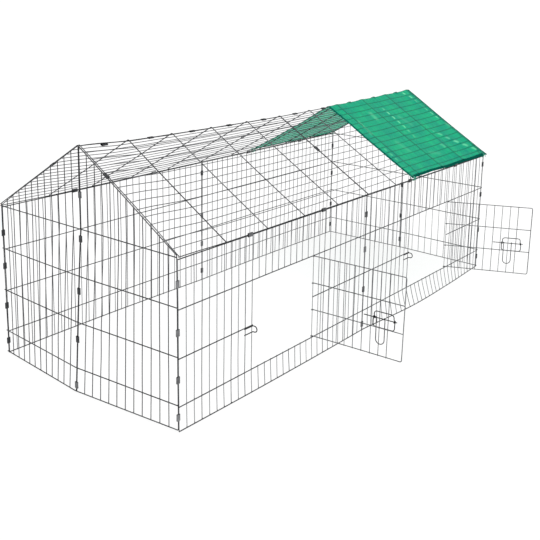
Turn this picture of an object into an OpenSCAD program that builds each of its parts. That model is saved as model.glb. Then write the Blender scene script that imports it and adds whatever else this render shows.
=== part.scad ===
// Outdoor run for small animals: twelve welded-wire panels clipped together,
// a gable roof, two hinged doors with sliding bolts, and a green shade sheet.
// The origin is the centre of the footprint on the ground; X runs along the
// ridge, the doors are on the -Y side and +Z is up.

/* [Run] */
// Length of the run between the outer rails of its two end walls
run_length = 1800; // [1500:20:2100]
// Width of the run between the outer rails of its front and back walls
run_width = 760; // [720:10:820]
// Height of the rail that tops each long wall
eave_h = 480; // [460:5:520]
// Height of the two wires that meet along the ridge
ridge_h = 716; // [700:2:740]
// Height of the second rail, above the low bottom row of the mesh
low_rail_h = 72; // [66:1:80]
// Spacing that the thin wires of the mesh aim for
mesh_pitch = 30; // [28:0.5:33]
// Number of bays between the rafters of one roof panel
rafter_bays = 5; // [4:1:6]

/* [Wire] */
// Thickness of the thin mesh wires
bar_d = 2.0; // [1.8:0.1:2.2]
// Thickness of the rails, rafters and door frames
rail_d = 3.0; // [2.8:0.1:3.2]
// Thickness of the wires along the edges of each panel
edge_d = 2.5; // [2.2:0.1:3.3]
// How deep two crossing wires are welded into each other
weld = 0.3; // [0.2:0.05:0.5]

/* [Doors] */
// Number of mesh bays that one door opening is wide
door_bays = 10; // [8:1:12]
// Width of each door's last bay, which lets the catch through
last_bay = 51.5; // [48:0.5:56]
// How far the near door stands open from its shut place
near_open = 93; // [5:1:165]
// How far the far door stands open from its shut place
far_open = 114; // [5:1:165]

/* [Latches] */
// Distance between the two sides of the bolt's bracket
bracket_w = 67; // [64:1:72]
// Height of the bolt's bracket
bracket_h = 50; // [46:1:56]
// Length of the bolt's straight rod
rod_len = 110; // [104:1:114]
// Length of the handle that hangs from the rod
handle_len = 84; // [70:1:90]
// Distance between the two legs of the handle
handle_w = 29; // [26:1:32]
// How far the catch loop stands out of the wall
catch_out = 17; // [15:0.5:20]
// Height of the catch loop between its two legs
catch_h = 18; // [16:0.5:18]

/* [Clips] */
// Length of each clip along the wires that it holds
clip_len = 18.5; // [16:0.5:21]
// Inner length of the clip's oval
clip_in = 10.6; // [9.8:0.1:10.8]
// Thickness of the clip's metal
clip_t = 1.0; // [0.8:0.1:1.3]

/* [Shade] */
// Distance from the middle of the run to the shade's inner edge
shade_x = 300; // [240:5:340]
// How far the shade's outer edge hangs over the end wall
shade_over = 12; // [4:1:16]
// Distance up the slope from the eave wire to the shade's lower edge
shade_up = 15.6; // [15:0.1:16.5]
// Thickness that stands for the sheet
shade_t = 1.2; // [1:0.1:2]

/* [Hidden] */
$fn = 32;

zinc = [0.56, 0.57, 0.58];
zinc_dark = [0.42, 0.43, 0.44];
clip_grey = [0.30, 0.31, 0.32];
shade_green = [0.10, 0.62, 0.45];
tie_green = [0.05, 0.36, 0.27];

br = bar_d / 2;
rr = rail_d / 2;
er = edge_d / 2;
gap = 0.2;                     // air between two wires that lie side by side
off_b = rr + br - weld;        // from a rail's axis to a thin wire's axis
off_e = rr + er - weld;        // from a rail's axis to an edge wire's axis

xo = run_length / 2;           // plane of the end walls' rails
yo = run_width / 2;            // plane of the long walls' rails
xj = er + gap / 2;             // edge wires either side of a joint
// At a corner the two panels' edge wires stand side by side along the long wall
xf = xo - off_e - edge_d - gap;
ye = yo - off_e;
over = er + 0.8;               // how far an end wall's rail runs past its edge wire

n_len = round((xf - xj) / mesh_pitch);
p_len = (xf - xj) / n_len;
n_wid = floor((ye - xj) / mesh_pitch);
p_wid = (ye - xj) / n_wid;

row = (eave_h - low_rail_h) / 3;
rails_z = [rr, low_rail_h, low_rail_h + row, low_rail_h + 2 * row, eave_h];
wall_top = eave_h + rr;

// Roof section: eave wire, ridge wire and the slope between them
eave_z = eave_h + rr + er + gap;
run_y = yo - xj;
rise = ridge_h - eave_z;
slope = atan2(rise, run_y);
slope_l = sqrt(run_y * run_y + rise * rise);
n_slope = round(slope_l / mesh_pitch);
p_slope = slope_l / n_slope;
m_raf = rr + er - weld;        // rafters lie on the eave and ridge wires
m_edge = 2 * er - weld;
m_pur = m_raf - off_b;
xr = xo - 6.2;                 // gable edge wire of the roof
// rafters run a little past the ridge wire, up to the other slope's
poke = (xj + (m_raf - rr) * sin(slope) - 0.2) / cos(slope);

// Sloping rail that tops each end wall
gs0 = [ye + over, eave_h + 5.5];
gs1 = [1.1, ridge_h + m_edge / cos(slope)];
function gable_z(y) = gs0[1] + (gs0[0] - y) * (gs1[1] - gs0[1]) / (gs0[0] - gs1[0]);
gslope = atan2(gs1[1] - gs0[1], gs0[0] - gs1[0]);

// Door opening, counted in thin wires from a panel's left edge
d0 = floor((n_len - door_bays) / 2);
d1 = d0 + door_bays;
hinge_y = yo - off_b;
near_hinge_x = -xf + d1 * p_len;
far_hinge_x = xj + d1 * p_len;
loop_r = br + 0.1 + rr;        // axis of a hinge curl around its wire
door_z0 = low_rail_h + rail_d + 0.5;
door_z1 = rails_z[3] - rail_d - 0.5;
door_row = (door_z1 - door_z0) / 3;
door_pitch = p_len;
door_w = (door_bays - 1) * door_pitch + last_bay;
door_bend = 6;
latch_z = door_z0 + door_row;
rod_z = latch_z + 0.585 * bracket_h;
br_x1 = door_bays * p_len - 14;
br_x0 = br_x1 - bracket_w;
br_n = loop_r + rail_d - weld; // plane of the bracket
rod_n = loop_r + 2 * rr + 0.4; // plane of the bolt's rod
eye_t = rr + 0.1;
eye_r = rr + 0.1 + eye_t;
rod_x1 = door_bays * p_len - 5.2;   // drawn back, its tip clears the catch
leg_x0 = br_x0 + 5.5;
leg_n = rod_n + 4.1;

catch_x = door_bays * p_len - 3;
catch_z1 = rails_z[2] - rail_d - 0.1;
catch_z0 = catch_z1 - catch_h;
catch_n = br + rr - weld;

cl_w = max(edge_d, rail_d) + 0.5;   // inner width of a clip
// How far up its bay each clip of a seam sits, from the lowest bay to the highest
up_front_left = [0.54, 0.54, 0.51, 0.50];
up_front_right = [0.58, 0.66, 0.77, 0.73];
up_back_left = [0.55, 0.63, 0.60, 0.39];
up_back_right = [0.56, 0.52, 0.62, 0.58];
up_front_joint = [0.24, 0.55, 0.61, 0.51];
up_back_joint = [0.58, 0.58, 0.44, 0.69];
up_left_post = [0.25, 0.61, 0.68, 0.80];
up_right_post = [0.57, 0.57, 0.62, 0.54];
function clip_z(up, i) = rails_z[i] + up[i] * (rails_z[i + 1] - rails_z[i]);

// A straight wire from a to b
module wire(a, b, d) {
  v = b - a;
  l = norm(v);
  translate(a) rotate([0, acos(v[2] / l), atan2(v[1], v[0])]) cylinder(d = d, h = l);
}

// A bend of wire in the XY plane, from one angle to another
module bend(r, d, a0, a1) {
  rotate([0, 0, a0]) rotate_extrude(angle = a1 - a0) translate([r, 0]) circle(d = d);
}

// Rails of a long wall's panel, seen from outside, between x0 and x1
module long_rails(x0, x1, opening = false) {
  for (i = [0:4])
    if (opening && i == 2) {
      wire([x0 - er, 0, rails_z[i]], [x0 + d0 * p_len + br + 0.8, 0, rails_z[i]], rail_d);
      wire([x0 + d1 * p_len - br - 0.8, 0, rails_z[i]], [x1 + er, 0, rails_z[i]], rail_d);
    } else
      wire([x0 - er, 0, rails_z[i]], [x1 + er, 0, rails_z[i]], rail_d);
}

// Upright wires of a long wall's panel
module long_bars(x0, x1, opening = false) {
  for (x = [x0, x1]) wire([x, off_e, 0.2], [x, off_e, wall_top], edge_d);
  for (i = [1:n_len - 1]) {
    x = x0 + i * p_len;
    if (opening && i > d0 && i < d1) {
      wire([x, off_b, 0.2], [x, off_b, low_rail_h + rr], bar_d);
      wire([x, off_b, rails_z[3] - rr], [x, off_b, wall_top], bar_d);
    } else
      wire([x, off_b, 0.2], [x, off_b, wall_top], bar_d);
  }
}

module front_left_rails() color(zinc_dark) translate([0, -yo, 0]) long_rails(-xf, -xj, true);
module front_left_bars() color(zinc) translate([0, -yo, 0]) long_bars(-xf, -xj, true);
module front_right_rails() color(zinc_dark) translate([0, -yo, 0]) long_rails(xj, xf, true);
module front_right_bars() color(zinc) translate([0, -yo, 0]) long_bars(xj, xf, true);
module back_left_rails() color(zinc_dark) mirror([0, 1, 0]) translate([0, -yo, 0]) long_rails(-xf, -xj);
module back_left_bars() color(zinc) mirror([0, 1, 0]) translate([0, -yo, 0]) long_bars(-xf, -xj);
module back_right_rails() color(zinc_dark) mirror([0, 1, 0]) translate([0, -yo, 0]) long_rails(xj, xf);
module back_right_bars() color(zinc) mirror([0, 1, 0]) translate([0, -yo, 0]) long_bars(xj, xf);

// Half of an end wall: level rails and the sloping rail under the roof's edge
module end_rails() {
  color(zinc_dark) {
    for (i = [0:4])
      wire([-xo, -ye - over, rails_z[i]], [-xo, -1.1, rails_z[i]], rail_d);
    wire([-xo, -gs0[0], gs0[1]], [-xo, -gs1[0], gs1[1]], rail_d);
  }
}

// Upright wires of half an end wall, each cut to the slope
module end_bars() {
  color(zinc) {
    for (y = [xj, ye])
      wire([-xo + off_e, -y, 0.2], [-xo + off_e, -y, gable_z(y) + 0.4], edge_d);
    for (i = [1:n_wid - 1]) {
      y = xj + i * p_wid;
      wire([-xo + off_b, -y, 0.2], [-xo + off_b, -y, gable_z(y) + 0.8], bar_d);
    }
  }
}

module left_end_front_rails() end_rails();
module left_end_front_bars() end_bars();
module left_end_back_rails() mirror([0, 1, 0]) end_rails();
module left_end_back_bars() mirror([0, 1, 0]) end_bars();
module right_end_front_rails() mirror([1, 0, 0]) end_rails();
module right_end_front_bars() mirror([1, 0, 0]) end_bars();
module right_end_back_rails() mirror([1, 0, 0]) mirror([0, 1, 0]) end_rails();
module right_end_back_bars() mirror([1, 0, 0]) mirror([0, 1, 0]) end_bars();

// Places its children on the front slope: X stays, Y runs up the slope from
// the eave wire and Z is the slope's outward normal
module on_slope() {
  translate([0, -yo, eave_z]) rotate([slope, 0, 0]) children();
}

// Wires that climb the slope of one roof panel
module roof_rafters() {
  color(zinc_dark) on_slope() {
    for (x = [-xr, -xj])
      wire([x, -over, m_edge], [x, slope_l + poke, m_edge], edge_d);
    for (i = [1:rafter_bays - 1]) {
      x = -xr + i * (xr - xj) / rafter_bays;
      wire([x, -over, m_raf], [x, slope_l + poke, m_raf], rail_d);
    }
  }
}

// Wires that run along the roof panel: eave wire, ridge wire and thin mesh
module roof_purlins() {
  color(zinc) on_slope() {
    for (w = [0, slope_l]) wire([-xr - 1, w, 0], [-xj + 1, w, 0], edge_d);
    for (i = [1:n_slope - 1])
      wire([-xr - 1, i * p_slope, m_pur], [-xj + 1, i * p_slope, m_pur], bar_d);
  }
}

module roof_front_left_rafters() roof_rafters();
module roof_front_left_purlins() roof_purlins();
module roof_front_right_rafters() mirror([1, 0, 0]) roof_rafters();
module roof_front_right_purlins() mirror([1, 0, 0]) roof_purlins();
module roof_back_left_rafters() mirror([0, 1, 0]) roof_rafters();
module roof_back_left_purlins() mirror([0, 1, 0]) roof_purlins();
module roof_back_right_rafters() mirror([1, 0, 0]) mirror([0, 1, 0]) roof_rafters();
module roof_back_right_purlins() mirror([1, 0, 0]) mirror([0, 1, 0]) roof_purlins();

// Places its children on a door: X runs from the hinge wire to the free edge,
// Y is the door's outer side when it is shut
module on_door(x, open) {
  translate([x, -hinge_y, 0]) rotate([0, 0, 180 + open]) children();
}

// A rail of the door, its end curled round the hinge wire
module curled_rail(z, l) {
  translate([0, 0, z]) {
    bend(loop_r, rail_d, 90, 360);
    wire([0, loop_r, 0], [l, loop_r, 0], rail_d);
  }
}

// Outer wire of the door: top, free edge and bottom in one piece
module door_frame() {
  color(zinc_dark) {
    for (z = [door_z0, door_z1]) curled_rail(z, door_w - door_bend);
    wire([door_w, loop_r, door_z0 + door_bend], [door_w, loop_r, door_z1 - door_bend], rail_d);
    translate([door_w - door_bend, loop_r, door_z1 - door_bend])
      rotate([90, 0, 0]) bend(door_bend, rail_d, 0, 90);
    translate([door_w - door_bend, loop_r, door_z0 + door_bend])
      rotate([90, 0, 0]) bend(door_bend, rail_d, 270, 360);
  }
}

// The two rails across the door
module door_rails() {
  color(zinc_dark)
    for (i = [1, 2]) curled_rail(door_z0 + i * door_row, door_w - rr + weld);
}

// Thin upright wires of the door, on its inner side
module door_bars() {
  color(zinc)
    for (i = [1:door_bays - 1])
      wire([i * door_pitch, loop_r - off_b, door_z0 - rr], [i * door_pitch, loop_r - off_b, door_z1 + rr], bar_d);
}

module near_door_frame() on_door(near_hinge_x, near_open) door_frame();
module near_door_rails() on_door(near_hinge_x, near_open) door_rails();
module near_door_bars() on_door(near_hinge_x, near_open) door_bars();
module far_door_frame() on_door(far_hinge_x, far_open) door_frame();
module far_door_rails() on_door(far_hinge_x, far_open) door_rails();
module far_door_bars() on_door(far_hinge_x, far_open) door_bars();

// Wire frame that carries the bolt, with an eye in each side
module latch_bracket() {
  r = 9;
  color(zinc_dark) {
    difference() {
      union() {
        for (z = [latch_z, latch_z + bracket_h])
          wire([br_x0 + r, br_n, z], [br_x1 - r, br_n, z], rail_d);
        for (x = [br_x0, br_x1])
          wire([x, br_n, latch_z + r], [x, br_n, latch_z + bracket_h - r], rail_d);
        translate([br_x1 - r, br_n, latch_z + bracket_h - r]) rotate([90, 0, 0]) bend(r, rail_d, 0, 90);
        translate([br_x0 + r, br_n, latch_z + bracket_h - r]) rotate([90, 0, 0]) bend(r, rail_d, 90, 180);
        translate([br_x0 + r, br_n, latch_z + r]) rotate([90, 0, 0]) bend(r, rail_d, 180, 270);
        translate([br_x1 - r, br_n, latch_z + r]) rotate([90, 0, 0]) bend(r, rail_d, 270, 360);
      }
      for (x = [br_x0, br_x1])
        translate([x - 3, rod_n, rod_z]) rotate([0, 90, 0]) cylinder(r = eye_r, h = 6);
    }
    for (x = [br_x0, br_x1])
      translate([x, rod_n, rod_z]) rotate([0, 90, 0]) rotate_extrude() translate([eye_r, 0]) circle(r = eye_t);
  }
}

// Sliding rod with the handle that hangs from it
module bolt() {
  hd = rail_d - 0.4;
  hr = handle_w / 2;
  xm = leg_x0 + hr;
  rb = leg_n - rod_n - 0.3;
  color(zinc_dark) {
    wire([rod_x1 - rod_len, rod_n, rod_z], [rod_x1, rod_n, rod_z], rail_d);
    for (x = [xm - hr, xm + hr]) {
      translate([x, leg_n - rb, rod_z - rb]) rotate([90, 0, 90]) bend(rb, hd, 0, 90);
      wire([x, leg_n, rod_z - handle_len + hr], [x, leg_n, rod_z - rb], hd);
    }
    translate([xm, leg_n, rod_z - handle_len + hr]) rotate([90, 0, 0]) bend(hr, hd, 180, 360);
  }
}

module near_latch_bracket() on_door(near_hinge_x, near_open) latch_bracket();
module far_latch_bracket() on_door(far_hinge_x, far_open) latch_bracket();
module near_bolt() on_door(near_hinge_x, near_open) bolt();
module far_bolt() on_door(far_hinge_x, far_open) bolt();

// Catch: a hairpin welded across two upright wires, its loop bent outwards
module catch_loop() {
  rb = 3;
  hr = catch_h / 2;
  leg_end = (door_bays + 1) * p_len + 5;
  tip = catch_out - hr;
  color(zinc_dark)
    for (z = [catch_z0, catch_z1]) {
      wire([catch_x + rb, catch_n, z], [leg_end, catch_n, z], rail_d);
      translate([catch_x + rb, catch_n + rb, z]) bend(rb, rail_d, 180, 270);
      wire([catch_x, catch_n + rb, z], [catch_x, tip, z], rail_d);
    }
  color(zinc_dark)
    translate([catch_x, tip, (catch_z0 + catch_z1) / 2]) rotate([0, -90, 0]) bend(hr, rail_d, 0, 180);
}

module near_catch() on_door(near_hinge_x, 0) catch_loop();
module far_catch() on_door(far_hinge_x, 0) catch_loop();

// Rolled oval sleeve with a seam, centred, its long side along X and its
// length along Z
module clip_oval(l, w) {
  for (s = [-1, 1]) translate([s * (l - w) / 2, 0]) circle(d = w);
  square([l - w, w], center = true);
}

module clip() {
  translate([0, 0, -clip_len / 2]) linear_extrude(height = clip_len) difference() {
    clip_oval(clip_in + 2 * clip_t, cl_w + 2 * clip_t);
    clip_oval(clip_in, cl_w);
    translate([0, cl_w / 2 + clip_t / 2]) square([0.8, clip_t + 0.6], center = true);
  }
}

module ridge_clips() {
  color(clip_grey)
    for (s = [-1, 1], i = [0:rafter_bays - 1])
      translate([s * (xj + (i + 0.5) * (xr - xj) / rafter_bays), 0, ridge_h])
        rotate([90, 0, 90]) clip();
}

// Two clips on each panel, each in the middle of a mesh bay
module eave_clips() {
  color(clip_grey)
    for (x0 = [-xf, xj], f = [0.315, 0.705])
      translate([x0 + (floor(f * n_len) + 0.5) * p_len, -yo, (eave_h + eave_z) / 2])
        rotate([0, 90, 0]) rotate([0, 0, 0]) clip();
}
module front_eave_clips() eave_clips();
module back_eave_clips() mirror([0, 1, 0]) eave_clips();

// One clip on each sloping edge, between two thin wires
gable_w = 0.7052 * slope_l;
module gable_clip() {
  y = yo - gable_w * cos(slope);
  z_roof = eave_z + gable_w * sin(slope) + m_edge * cos(slope);
  y_roof = yo - gable_w * cos(slope) + m_edge * sin(slope);
  z_wall = gable_z(y_roof);
  dz = (z_wall - z_roof) * cos(slope);
  dx = -xo + xr;
  translate([-(xo + xr) / 2, -y_roof, z_roof])
    rotate([slope, 0, 0]) translate([0, 0, dz / 2])
      rotate([90, 0, 0]) rotate([0, 0, atan2(dz, dx)]) clip();
}
module gable_clips() {
  color(clip_grey)
    for (a = [0, 1], b = [0, 1]) mirror([a, 0, 0]) mirror([0, b, 0]) gable_clip();
}

// Clips between the two roof panels of each slope
module mid_roof_clips() {
  w = (floor(0.57 * n_slope) + 0.5) * p_slope;
  color(clip_grey)
    for (b = [0, 1]) mirror([0, b, 0])
      on_slope() translate([0, w, m_edge]) rotate([90, 0, 0]) clip();
}

module corner_clips() {
  color(clip_grey)
    for (c = [[0, 0, up_front_left], [1, 0, up_front_right], [0, 1, up_back_left], [1, 1, up_back_right]], i = [0:3])
      mirror([c[0], 0, 0]) mirror([0, c[1], 0])
        translate([-(xf + xo - off_e) / 2, -ye, clip_z(c[2], i)]) clip();
}

module joint_clips(up) {
  color(clip_grey)
    for (i = [0:3]) translate([0, -yo + off_e, clip_z(up, i)]) clip();
}
module front_joint_clips() joint_clips(up_front_joint);
module back_joint_clips() mirror([0, 1, 0]) joint_clips(up_back_joint);

module post_clips(up) {
  color(clip_grey)
    for (z = concat([for (i = [0:3]) clip_z(up, i)], [eave_h + 0.42 * (ridge_h - eave_h)]))
      translate([-xo + off_e, 0, z]) rotate([0, 0, 90]) clip();
}
module left_post_clips() post_clips(up_left_post);
module right_post_clips() mirror([1, 0, 0]) post_clips(up_right_post);

// Shade sheet lying over both slopes at one end of the roof
shade_m = m_raf + rr + 3;
module shade_sheet() {
  ty = yo - shade_up * cos(slope);
  tz = eave_z + shade_up * sin(slope);
  top = ridge_h + xj * tan(slope);
  v0 = shade_m / cos(slope);
  v1 = (shade_m + shade_t) / cos(slope);
  nx = sin(slope);
  nz = cos(slope);
  color(shade_green)
    translate([shade_x, 0, 0]) rotate([90, 0, 90]) linear_extrude(height = xo + shade_over - shade_x)
      polygon([
        [-ty - shade_m * nx, tz + shade_m * nz],
        [-ty - (shade_m + shade_t) * nx, tz + (shade_m + shade_t) * nz],
        [0, top + v1],
        [ty + (shade_m + shade_t) * nx, tz + (shade_m + shade_t) * nz],
        [ty + shade_m * nx, tz + shade_m * nz],
        [0, top + v0]
      ]);
}

// Loops of cord that tie the shade's four corners to the eave wire and the
// wall's top rail
module shade_ties() {
  color(tie_green)
    for (b = [0, 1], x = [shade_x + 9, xr - 9]) mirror([0, b, 0])
      on_slope() translate([x, 8, -0.5]) rotate([0, 90, 0]) rotate_extrude() translate([14, 0]) circle(d = 2);
}

front_left_rails();
front_left_bars();
front_right_rails();
front_right_bars();
back_left_rails();
back_left_bars();
back_right_rails();
back_right_bars();
left_end_front_rails();
left_end_front_bars();
left_end_back_rails();
left_end_back_bars();
right_end_front_rails();
right_end_front_bars();
right_end_back_rails();
right_end_back_bars();
roof_front_left_rafters();
roof_front_left_purlins();
roof_front_right_rafters();
roof_front_right_purlins();
roof_back_left_rafters();
roof_back_left_purlins();
roof_back_right_rafters();
roof_back_right_purlins();
near_door_frame();
near_door_rails();
near_door_bars();
far_door_frame();
far_door_rails();
far_door_bars();
near_latch_bracket();
far_latch_bracket();
near_bolt();
far_bolt();
near_catch();
far_catch();
ridge_clips();
front_eave_clips();
back_eave_clips();
gable_clips();
mid_roof_clips();
corner_clips();
front_joint_clips();
back_joint_clips();
left_post_clips();
right_post_clips();
shade_sheet();
shade_ties();
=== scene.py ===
import bpy
import math
import numpy as np
from mathutils import Vector, Matrix


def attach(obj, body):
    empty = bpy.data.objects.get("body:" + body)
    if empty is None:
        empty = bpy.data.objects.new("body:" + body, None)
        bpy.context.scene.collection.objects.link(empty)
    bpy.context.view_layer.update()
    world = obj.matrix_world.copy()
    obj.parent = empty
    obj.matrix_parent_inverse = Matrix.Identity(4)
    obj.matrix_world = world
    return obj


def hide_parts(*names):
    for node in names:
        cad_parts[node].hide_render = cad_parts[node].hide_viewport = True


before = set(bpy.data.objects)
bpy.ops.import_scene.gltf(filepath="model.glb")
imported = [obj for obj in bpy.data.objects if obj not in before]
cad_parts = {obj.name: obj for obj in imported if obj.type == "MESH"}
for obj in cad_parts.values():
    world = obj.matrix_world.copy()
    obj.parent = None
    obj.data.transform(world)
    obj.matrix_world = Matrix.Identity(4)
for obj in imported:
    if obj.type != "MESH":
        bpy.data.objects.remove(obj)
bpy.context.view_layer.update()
rng = np.random.default_rng(20)

# ---------------------------------------------------------------- dimensions
# The run's own numbers in millimetres: X along the ridge, the doors on -Y, Z up.
L, W, EAVE, RIDGE, LOW = 1800.0, 760.0, 480.0, 716.0, 72.0
BAR_D, RAIL_D, EDGE_D, WELD = 2.0, 3.0, 2.5, 0.3
BR, RR, ER = BAR_D / 2, RAIL_D / 2, EDGE_D / 2
GAP = 0.2
OFF_B = RR + BR - WELD
OFF_E = RR + ER - WELD
XO, YO = L / 2, W / 2
XJ = ER + GAP / 2
XF = XO - OFF_E - EDGE_D - GAP
YE = YO - OFF_E
OVER = ER + 0.8
N_LEN = round((XF - XJ) / 30)
P_LEN = (XF - XJ) / N_LEN
N_WID = math.floor((YE - XJ) / 30)
P_WID = (YE - XJ) / N_WID
ROW = (EAVE - LOW) / 3
RAILS_Z = [RR, LOW, LOW + ROW, LOW + 2 * ROW, EAVE]
WALL_TOP = EAVE + RR
EAVE_Z = EAVE + RR + ER + GAP
RUN_Y = YO - XJ
RISE = RIDGE - EAVE_Z
SLOPE = math.atan2(RISE, RUN_Y)
CS, SN = math.cos(SLOPE), math.sin(SLOPE)
SLOPE_L = math.hypot(RUN_Y, RISE)
N_SLOPE = round(SLOPE_L / 30)
P_SLOPE = SLOPE_L / N_SLOPE
M_RAF = RR + ER - WELD
M_EDGE = 2 * ER - WELD
M_PUR = M_RAF - OFF_B
XR = XO - 6.2
BAYS = 5
GS0 = (YE + OVER, EAVE + 5.5)
GS1 = (1.1, RIDGE + M_EDGE / CS)
DOOR_BAYS, LAST_BAY = 10, 51.5
D0 = (N_LEN - DOOR_BAYS) // 2
D1 = D0 + DOOR_BAYS
HINGE_Y = YO - OFF_B
DOORS = {"near": (-XF + D1 * P_LEN, 93.0), "far": (XJ + D1 * P_LEN, 114.0)}
LOOP_R = BR + 0.1 + RR
DOOR_Z0 = LOW + RAIL_D + 0.5
DOOR_Z1 = RAILS_Z[3] - RAIL_D - 0.5
DOOR_ROW = (DOOR_Z1 - DOOR_Z0) / 3
DOOR_W = (DOOR_BAYS - 1) * P_LEN + LAST_BAY
DOOR_BEND = 6.0
LATCH_Z = DOOR_Z0 + DOOR_ROW
BRACKET_W, BRACKET_H = 67.0, 50.0
ROD_Z = LATCH_Z + 0.585 * BRACKET_H
BR_X1 = DOOR_BAYS * P_LEN - 14
BR_X0 = BR_X1 - BRACKET_W
BR_N = LOOP_R + RAIL_D - WELD
ROD_N = LOOP_R + 2 * RR + 0.4
ROD_LEN, HANDLE_LEN, HANDLE_W = 110.0, 84.0, 29.0
ROD_X1 = DOOR_BAYS * P_LEN - 5.2
LEG_X0 = BR_X0 + 5.5
LEG_N = ROD_N + 4.1
CATCH_OUT, CATCH_H = 17.0, 18.0
CATCH_X = DOOR_BAYS * P_LEN - 3
CATCH_Z1 = RAILS_Z[2] - RAIL_D - 0.1
CATCH_Z0 = CATCH_Z1 - CATCH_H
CATCH_N = BR + RR - WELD
CLIP_LEN, CLIP_IN, CLIP_T = 18.5, 10.6, 1.0
CL_W = max(EDGE_D, RAIL_D) + 0.5
# how far up its bay each clip of a seam sits
UP = {"front_left": (0.54, 0.54, 0.51, 0.50), "front_right": (0.58, 0.66, 0.77, 0.73),
      "back_left": (0.55, 0.63, 0.60, 0.39), "back_right": (0.56, 0.52, 0.62, 0.58),
      "front_joint": (0.24, 0.55, 0.61, 0.51), "back_joint": (0.58, 0.58, 0.44, 0.69),
      "left_post": (0.25, 0.61, 0.68, 0.80), "right_post": (0.57, 0.57, 0.62, 0.54)}
SHADE_X0, SHADE_X1, SHADE_UP = 300.0, XO + 15, 15.6
LEFT_LIFT = 6.0          # the left end's panels hang this much higher than the front ones


def gable_z(y):
    return GS1[1] + (GS0[0] - y) * 0 + (GS1[0] - y) * (GS1[1] - GS0[1]) / (GS0[0] - GS1[0])


def clip_z(key):
    return [RAILS_Z[i] + UP[key][i] * (RAILS_Z[i + 1] - RAILS_Z[i]) for i in range(4)]


def smooth(t):
    t = np.clip(t, 0, 1)
    return t * t * (3 - 2 * t)


# ------------------------------------------------------------------- flexing
def flex(p):
    """How the light panels give where nothing holds them: the ridge sags at the
    joint of its panels, the left end's fold stands out at its foot, and the
    far front panel bows out along the ground. Points and result in mm."""
    p = np.array(p, float)
    x, y, z = p[:, 0], p[:, 1], p[:, 2]
    q = p.copy()
    up = np.clip((z - EAVE) / (RIDGE - EAVE), 0, 1)
    q[:, 2] -= 13.0 * up * (1 - np.clip(np.abs(x) / 893, 0, 1) ** 1.6)
    # the sheet of mesh between eave and ridge hangs through a little in each panel
    mid = np.sin(math.pi * np.clip(up, 0, 1)) * np.abs(np.sin(math.pi * np.clip(np.abs(x) / 893, 0, 1)))
    q[:, 2] -= 2.2 * mid
    low = np.clip(1 - z / EAVE, 0, 1)
    left = smooth((-x - 780) / 100)
    q[:, 0] -= 34.0 * left * np.clip(1 - np.abs(y) / YE, 0, 1) * low ** 0.9
    right = smooth((x - 780) / 100)
    q[:, 0] += 9.0 * right * np.clip(1 - np.abs(y) / YE, 0, 1) * low
    front = smooth((-y - 340) / 35)
    t = np.clip(x / XF, 0, 1)
    foot = np.clip(1 - z / 74.0, 0, 1) ** 1.25
    q[:, 1] -= front * 19.0 * np.sin(math.pi * t) ** 1.1 * foot
    sill = np.sin(math.pi * np.clip(x / 585.0, 0, 1)) ** 2 * np.clip(1 - z / 74.0, 0, 1)
    q[:, 1] -= front * 5.0 * sill
    tl = np.clip((x + XF) / XF, 0, 1)
    q[:, 1] -= front * 4.0 * np.sin(math.pi * tl) * foot
    back = smooth((y - 340) / 35)
    q[:, 1] += back * 6.0 * np.abs(np.sin(math.pi * np.clip(x / XF, -1, 1))) * np.clip(1 - z / 300.0, 0, 1)
    return q


def flex_rigid(points, centre):
    """A small stiff piece moves as one with the flexing around it."""
    return np.asarray(points, float) + (flex([centre])[0] - np.asarray(centre, float))


# ------------------------------------------------------------- mesh building
class Build:
    """Collects vertices, faces and a tone per vertex, in mm."""

    def __init__(self):
        self.v, self.f, self.t, self.a, self.n = [], [], [], [], 0

    def add(self, verts, faces, tone=0.5, along=None):
        verts = np.asarray(verts, float)
        self.v.append(verts)
        self.f += [tuple(i + self.n for i in f) for f in faces]
        self.t.append(np.broadcast_to(np.asarray(tone, float), (len(verts),)))
        self.a.append(np.zeros(len(verts)) if along is None else np.asarray(along, float))
        self.n += len(verts)

    def make(self, name, mat, body, replaces=(), slot=None, smooth_shade=True):
        v = np.concatenate(self.v) * 0.001
        me = bpy.data.meshes.new(name)
        me.from_pydata([tuple(p) for p in v], [], self.f)
        tone = me.attributes.new("tone", "FLOAT", "POINT")
        tone.data.foreach_set("value", np.concatenate(self.t).astype(np.float32))
        along = me.attributes.new("along", "FLOAT", "POINT")
        along.data.foreach_set("value", np.concatenate(self.a).astype(np.float32))
        me.validate()
        me.update()
        if smooth_shade:
            me.polygons.foreach_set("use_smooth", [True] * len(me.polygons))
            me.set_sharp_from_angle(angle=math.radians(50))
        ob = bpy.data.objects.new(name, me)
        bpy.context.scene.collection.objects.link(ob)
        me.materials.append(mat)
        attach(ob, body)
        if replaces:
            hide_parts(*replaces)
        return ob


def frames(path):
    """Tangents and two side vectors that don't twist along a path."""
    p = np.asarray(path, float)
    t = np.gradient(p, axis=0)
    t /= np.linalg.norm(t, axis=1)[:, None]
    a = np.array([0.0, 0.0, 1.0]) if abs(t[0][2]) < 0.9 else np.array([1.0, 0.0, 0.0])
    u = np.zeros_like(p)
    u[0] = a - t[0] * (a @ t[0])
    u[0] /= np.linalg.norm(u[0])
    for i in range(1, len(p)):
        w = u[i - 1] - t[i] * (u[i - 1] @ t[i])
        u[i] = w / np.linalg.norm(w)
    return t, u, np.cross(t, u)


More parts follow.
